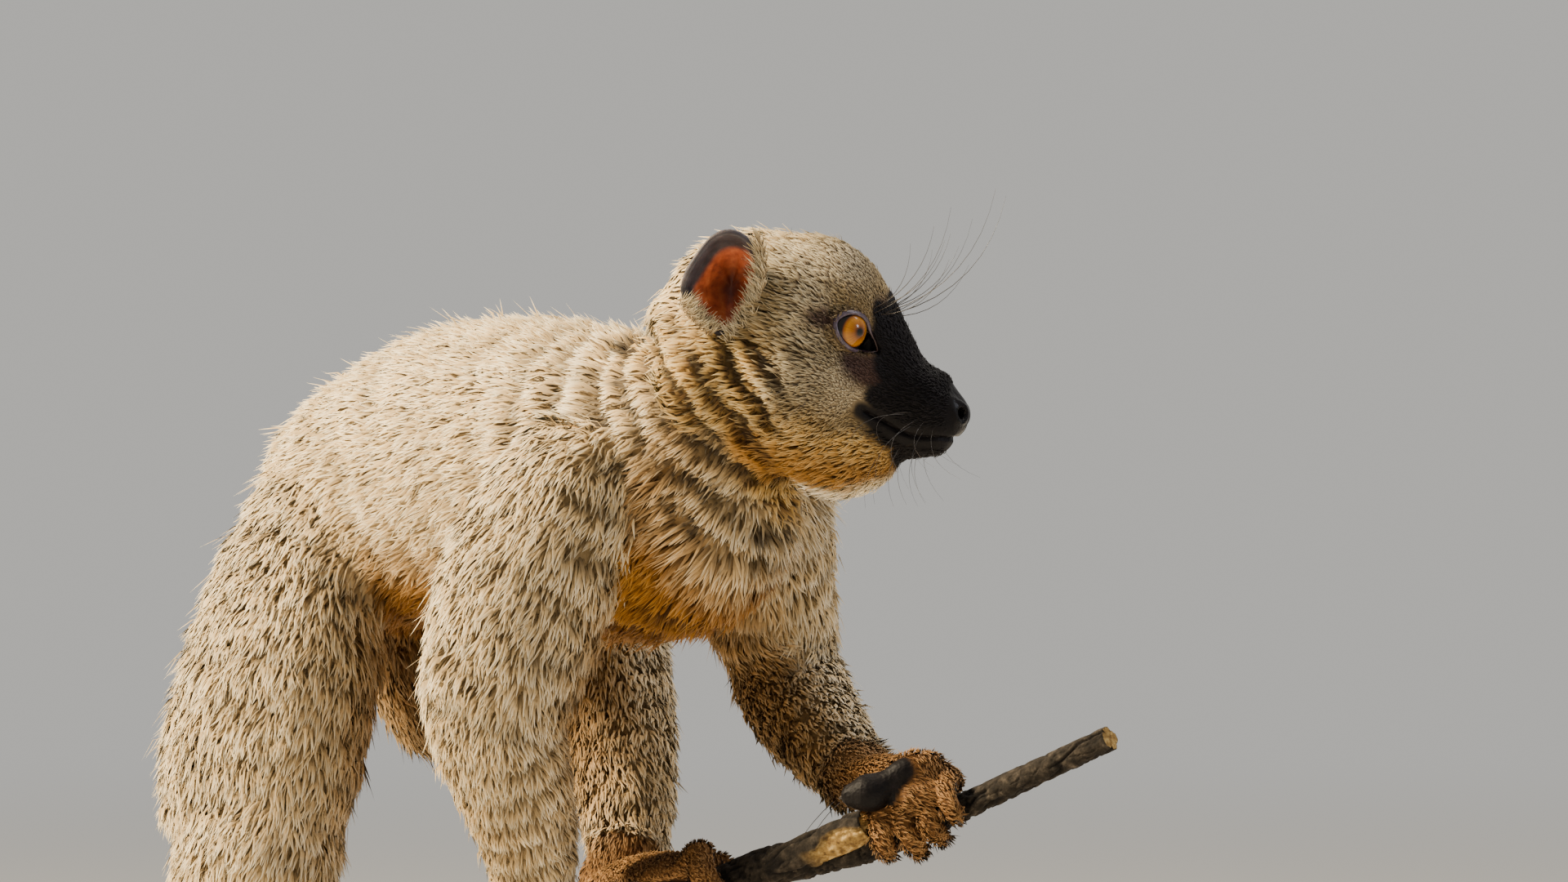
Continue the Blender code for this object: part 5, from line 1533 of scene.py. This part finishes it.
# points and faces, and for each point how bare the wood is and how deep it lies in a crack
def barkTube(rows, broken):
    run = runAlong(rows[:, :3])
    count, sides = int(run[-1] / barkPlan["step"]) + 1, barkPlan["sides"]
    at = np.linspace(0, run[-1], count)
    centres = np.column_stack([np.interp(at, run, rows[:, k]) for k in range(3)])
    radii = np.interp(at, run, rows[:, 3])
    along = unit(np.gradient(centres, axis=0))
    across = unit(np.cross(along, [0, 0, 1.0]))
    up = np.cross(across, along)
    turn = evenTurns(sides)
    out = (np.cos(turn)[None, :, None] * across[:, None]
           + np.sin(turn)[None, :, None] * up[:, None])
    flat = (centres[:, None] + out * radii[:, None, None]).reshape(-1, 3)
    gone, heading = np.repeat(at, sides), np.repeat(along, sides, axis=0)
    # plates of bark longer than wide, with cracks between them
    plate = barkPlan["plate"]
    stretched = flat / plate - (gone * barkPlan["stretch"] / plate)[:, None] * heading
    ridge = 1 - np.abs(lumps(stretched, 1.0, 11)) * 2.2
    fine = 1 - np.abs(lumps(stretched, 0.42, 12)) * 2.0
    crack = ramp(ridge, 0.45, 1.0) + 0.45 * ramp(fine, 0.5, 1.0)
    swell = 0.30 * lumps(flat, 13, 13) - 0.18 + 0.16 * lumps(flat, 2.2, 14)
    wood = np.zeros(len(flat))
    if broken:    # torn open along the underside, with splinters
        side = (out @ np.array(barkPlan["torn"])).ravel()
        wood = ramp(side + 0.35 * lumps(flat, 6, 15), 0.25, 0.55) * ramp(gone, 15, 26)
    shape = swell - barkPlan["crack"] * crack * (1 - wood)
    if broken:
        splinter = lumps(flat - (gone * 0.9)[:, None] * heading, 1.1, 16)
        shape = np.where(wood > 0.5, -barkPlan["tornDeep"] + 0.55 * splinter, shape)
    points = flat + out.reshape(-1, 3) * shape[:, None]
    depth = np.clip(crack * (1 - wood), 0, 1)
    grid = np.arange(count * sides).reshape(count, sides)
    a, b = grid[:-1], np.roll(grid, -1, axis=1)[:-1]
    c, d = grid[1:], np.roll(grid, -1, axis=1)[1:]
    faces = [np.stack([a, b, d], -1).reshape(-1, 3), np.stack([a, d, c], -1).reshape(-1, 3)]
    points, cut = [points], [wood]
    total, rings = count * sides, barkPlan["endRings"]
    # the two ends: one sawn flat, the other sawn or, on the stub, torn
    for end, way in ((0, -1), (count - 1, 1)):
        border = points[0][end * sides:(end + 1) * sides]
        centre = border.mean(axis=0)
        last = np.arange(end * sides, (end + 1) * sides)
        for ring in range(1, rings):
            share = 1 - ring / rings
            place = centre + (border - centre) * share
            if broken and way > 0:
                jag = 2.2 * lumps(place, 1.3, 17) + 1.6 * lumps(place, 3.5, 18)
                jag = jag * min(1, 1.6 * (1 - share)) - share
                place = place + along[end] * jag[:, None]
            else:
                place = place + along[end] * way * barkPlan["sawMarks"] * math.sin(ring * 2.4)
            points.append(place)
            new = total + np.arange(sides)
            total += sides
            e, f = last, np.roll(last, -1)
            g, h = new, np.roll(new, -1)
            if way > 0:
                faces += [np.stack([e, f, h], -1), np.stack([e, h, g], -1)]
            else:
                faces += [np.stack([e, h, f], -1), np.stack([e, g, h], -1)]
            cut.append(np.ones(sides))
            last = new
        points.append(centre[None])
        cap = [last, np.roll(last, -1), np.full(sides, total)]
        faces.append(np.stack(cap if way > 0 else [cap[1], cap[0], cap[2]], -1))
        total += 1
        cut.append(np.ones(1))
    deep = np.zeros(total)
    deep[:len(depth)] = depth
    return np.vstack(points), np.concatenate(faces), np.concatenate(cut), deep


def makePerch(name, material):
    shells = [barkTube(branchRows, False), barkTube(smoothRows(stubStations, 8), True)]
    points, faces = joinShells([shell[:2] for shell in shells])
    mesh = fillMesh(name, points, faces)
    setValues(mesh, "wood", np.concatenate([shell[2] for shell in shells]))
    setValues(mesh, "crack", np.concatenate([shell[3] for shell in shells]))
    piece = addPiece(name, mesh, material)
    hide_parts("perch_branch")


# Dry grey bark over pale yellow wood: rough and dull, dark in the cracks as painted shade, some
# lichen grey.
def makeBarkMaterial():
    material, tree, shader = newMaterial("dryBranchBark")
    place = addNode(tree, "TexCoord").outputs["Object"]
    grain = addNode(tree, "TexNoise", {"Scale": 1 / 0.0035, "Detail": 6.0, "Roughness": 0.65}, {
        "Vector": place})
    bark = addNode(tree, "ValToRGB", {"stops": [
        (0.3, "#0e0b08"), (0.5, "#241f19"), (0.62, "#39322a"), (0.8, "#5e5549")]}, {
            "Fac": grain.outputs["Fac"]})
    # painted shade: near black where the bark lies deep in a crack
    cracked = addNode(tree, "Mix", {"data_type": "RGBA", 7: "#0d0a08"}, {
        0: "crack", 6: bark.outputs["Color"]})
    lines = addNode(tree, "TexNoise", {"Scale": 1 / 0.0018, "Detail": 4.0}, {"Vector": place})
    wood = addNode(tree, "ValToRGB", {"stops": [
        (0.3, "#513b20"), (0.5, "#83683a"), (0.75, "#b59a64")]}, {"Fac": lines.outputs["Fac"]})
    mixed = addNode(tree, "Mix", {"data_type": "RGBA"}, {
        0: "wood", 6: cracked.outputs[2], 7: wood.outputs["Color"]})
    fine = addNode(tree, "TexNoise", {"Scale": 1 / 0.0009, "Detail": 5.0}, {"Vector": place})
    relief = addNode(tree, "Bump", {"Strength": 0.6, "Distance": 0.0004}, {
        "Height": fine.outputs["Fac"]})
    addNode(tree, shader, {"Roughness": 0.88, "Specular IOR Level": 0.15}, {
        "Base Color": mixed.outputs[2], "Normal": relief.outputs["Normal"]})
    return material


# Oiled walnut for the base: even satin, long brown grain.
def makeWalnut():
    material, tree, shader = newMaterial("oiledWalnut")
    place = addNode(tree, "TexCoord").outputs["Object"]
    # grain in bands 12 mm wide and 110 mm long
    slanted = addNode(tree, "Mapping", {"Scale": (1.0, 9.0, 9.0)}, {"Vector": place})
    waves = addNode(tree, "TexNoise", {"Scale": 9.0, "Detail": 6.0, "Roughness": 0.6,
                                       "Distortion": 0.6}, {"Vector": slanted.outputs["Vector"]})
    tint = addNode(tree, "ValToRGB", {"stops": [
        (0.3, "#2a170d"), (0.5, "#4b2c1a"), (0.7, "#6f472c")]}, {"Fac": waves.outputs["Fac"]})
    # pores about 1 mm apart across the grain
    pores = addNode(tree, "Mapping", {"Scale": (60.0, 900.0, 900.0)}, {"Vector": place})
    fine = addNode(tree, "TexNoise", {"Scale": 1.0, "Detail": 3.0}, {
        "Vector": pores.outputs["Vector"]})
    relief = addNode(tree, "Bump", {"Strength": 0.2, "Distance": 0.0002}, {
        "Height": fine.outputs["Fac"]})
    addNode(tree, shader, {"Roughness": 0.42}, {
        "Base Color": tint.outputs["Color"], "Normal": relief.outputs["Normal"]})
    return material


# Brushed stainless steel rods: fine lengthwise scratches blur the shine.
def makeBrushedSteel():
    material, tree, shader = newMaterial("brushedStainlessSteel")
    place = addNode(tree, "TexCoord").outputs["Object"]
    # scratches 0.3 mm apart and 25 mm long
    drawn = addNode(tree, "Mapping", {"Scale": (3000.0, 3000.0, 40.0)}, {"Vector": place})
    scratches = addNode(tree, "TexNoise", {"Scale": 1.0, "Detail": 2.0}, {
        "Vector": drawn.outputs["Vector"]})
    rough = addNode(tree, "MapRange", {"To Min": 0.24, "To Max": 0.42}, {
        "Value": scratches.outputs["Fac"]})
    relief = addNode(tree, "Bump", {"Strength": 0.12, "Distance": 0.0001}, {
        "Height": scratches.outputs["Fac"]})
    addNode(tree, shader, {"Base Color": "#b9b7b2", "Metallic": 1.0}, {
        "Roughness": rough.outputs["Result"], "Normal": relief.outputs["Normal"]})
    return material


# now everything is made, piece by piece
skin = makeSkin()
print("skin fused")
refineFace(skin)
skinInfo = shapeSkin(skin)
skinInfo["marks"] = markings(skinInfo["points"], skinInfo["normals"], skinInfo["part"])
skinInfo["bare"], nosePad = bareSkin(skinInfo)
ways = np.array([unit(skinInfo["flow"][skinInfo["part"] == k].mean(axis=0))
                 for k in range(len(fleshNodes))])
ways[fleshNodes.index("neck")] = unit(np.array([-0.72, -0.1, -0.68]))
skinInfo["ways"] = ways
skinInfo["parting"] = partings(skinInfo["points"], skinInfo["part"], ways)
for key, values in skinInfo["marks"].items():
    setValues(skin.data, key, values)
setValues(skin.data, "bare", skinInfo["bare"])
setValues(skin.data, "wet", nosePad)
setValues(skin.data, "parting", skinInfo["parting"])
skin.data.materials.append(makeSkinMaterial())
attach(skin, "root")
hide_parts(*fleshNodes)
print("skin shaped:", len(skin.data.polygons), "triangles")

furMaterial = makeFurMaterial()
growCoat(skinInfo, furMaterial)
print("coat grown")

eyeMaterial, lidMaterial, earMaterial = makeEyeMaterial(), makeLidMaterial(), makeEarMaterial()
for side, sign in (("left", 1), ("right", -1)):
    makeEye(f"eyeball_{side}", sign, eyeMaterial)
    makeLids(f"eyelids_{side}", sign, lidMaterial)
    makeEar(f"ear_shell_{side}", sign, earMaterial)
    makeEarHair(f"ear_hair_{side}", sign, furMaterial)
makeNails(makeNailMaterial())
makeWhiskers("whiskers", makeWhiskerMaterial())
print("face, ears and nails made")

makePerch("perch_bark", makeBarkMaterial())
walnut, steel = makeWalnut(), makeBrushedSteel()
for node, material in (("stand_base", walnut), ("stand_rod_1", steel), ("stand_rod_2", steel)):
    cadNodes[node].data.materials.clear()
    cadNodes[node].data.materials.append(material)
print("perch and stand made")

# a wide pale floor that fades into the same pale surroundings
room = {"colour": "#e4e2dd", "floor": "#dcd8d0", "fadeStart": 1.6, "fadeEnd": 5.0,
        "light": 0.66, "radius": 30000, "sides": 96, "below": 0.0002}    # just under the base


def makeFloor():
    sides = room["sides"]
    turn = evenTurns(sides)
    rim = np.column_stack([np.cos(turn), np.sin(turn), np.zeros(sides)]) * room["radius"]
    points = np.vstack([np.zeros((1, 3)), rim])
    faces = np.array([(0, 1 + k, 1 + (k + 1) % sides) for k in range(sides)])
    material, tree, shader = newMaterial("mattPaintedFloor")
    place = addNode(tree, "TexCoord").outputs["Object"]
    reach = addNode(tree, "VectorMath", {"operation": "LENGTH"}, {0: place})
    fade = addNode(tree, "MapRange", {"interpolation_type": "SMOOTHSTEP",
                                      "From Min": room["fadeStart"], "From Max": room["fadeEnd"]},
                   {"Value": reach.outputs["Value"]})
    addNode(tree, shader, {"Base Color": room["floor"], "Roughness": 0.75})
    glow = addNode(tree, "Emission", {"Color": room["colour"], "Strength": room["light"]})
    mixed = addNode(tree, "MixShader", {}, {0: fade.outputs["Result"],
                                            1: shader.outputs["BSDF"],
                                            2: glow.outputs["Emission"]})
    addNode(tree, tree.nodes["Material Output"], {}, {"Surface": mixed.outputs["Shader"]})
    floor = addPiece("floor", fillMesh("floor", points, faces), material, None)
    floor.location.z = -room["below"]


makeFloor()
world = bpy.data.worlds.new("studio")
bpy.context.scene.world = world
world.use_nodes = True
addNode(world.node_tree, world.node_tree.nodes["Background"], {
    "Color": room["colour"], "Strength": room["light"]})

# lights: a warm key high on the camera's left, a small cool fill that glints in the eye,
# and a soft top light
lightPlan = [    # place and aim in metres, width and height in metres, watts, colour
    ("key", (-0.66, -1.30, 1.40), (0.0, 0.0, 0.32), (0.5, 0.5), 150, "#ffecc9"),
    ("fill", (1.35, 0.75, 0.95), (0.05, 0.0, 0.32), (0.34, 0.34), 7, "#eef3ff"),
    ("top", (0.1, 0.55, 1.55), (0.05, 0.0, 0.35), (1.0, 0.8), 18, "#fff6ea"),
]
for name, place, aim, size, power, colour in lightPlan:
    lamp = bpy.data.lights.new(name, "AREA")
    lamp.shape, lamp.size, lamp.size_y = "RECTANGLE", size[0], size[1]
    lamp.energy, lamp.color = power, hexColour(colour)[:3]
    holder = bpy.data.objects.new(name, lamp)
    holder.location = place
    holder.rotation_euler = (Vector(aim) - Vector(place)).to_track_quat("-Z", "Y").to_euler()
    bpy.context.scene.collection.objects.link(holder)

# camera: level, 1.8 m away, on the animal's right and ahead of it
cameraPlan = {"target": (0.1389, 0.0041, 0.380), "distance": 1.8, "azimuth": 55.0,
              "lens": 128.2, "sensor": 36.0, "clipEnd": 200.0}
lens = bpy.data.cameras.new("camera")
lens.lens, lens.sensor_width = cameraPlan["lens"], cameraPlan["sensor"]
lens.clip_end = cameraPlan["clipEnd"]
camera = bpy.data.objects.new("camera", lens)
azimuth = math.radians(cameraPlan["azimuth"])
away = Vector((math.sin(azimuth), -math.cos(azimuth), 0))
camera.location = Vector(cameraPlan["target"]) + away * cameraPlan["distance"]
camera.rotation_euler = (-away).to_track_quat("-Z", "Y").to_euler()
bpy.context.scene.collection.objects.link(camera)
bpy.context.scene.camera = camera
print("room, lights and camera set")
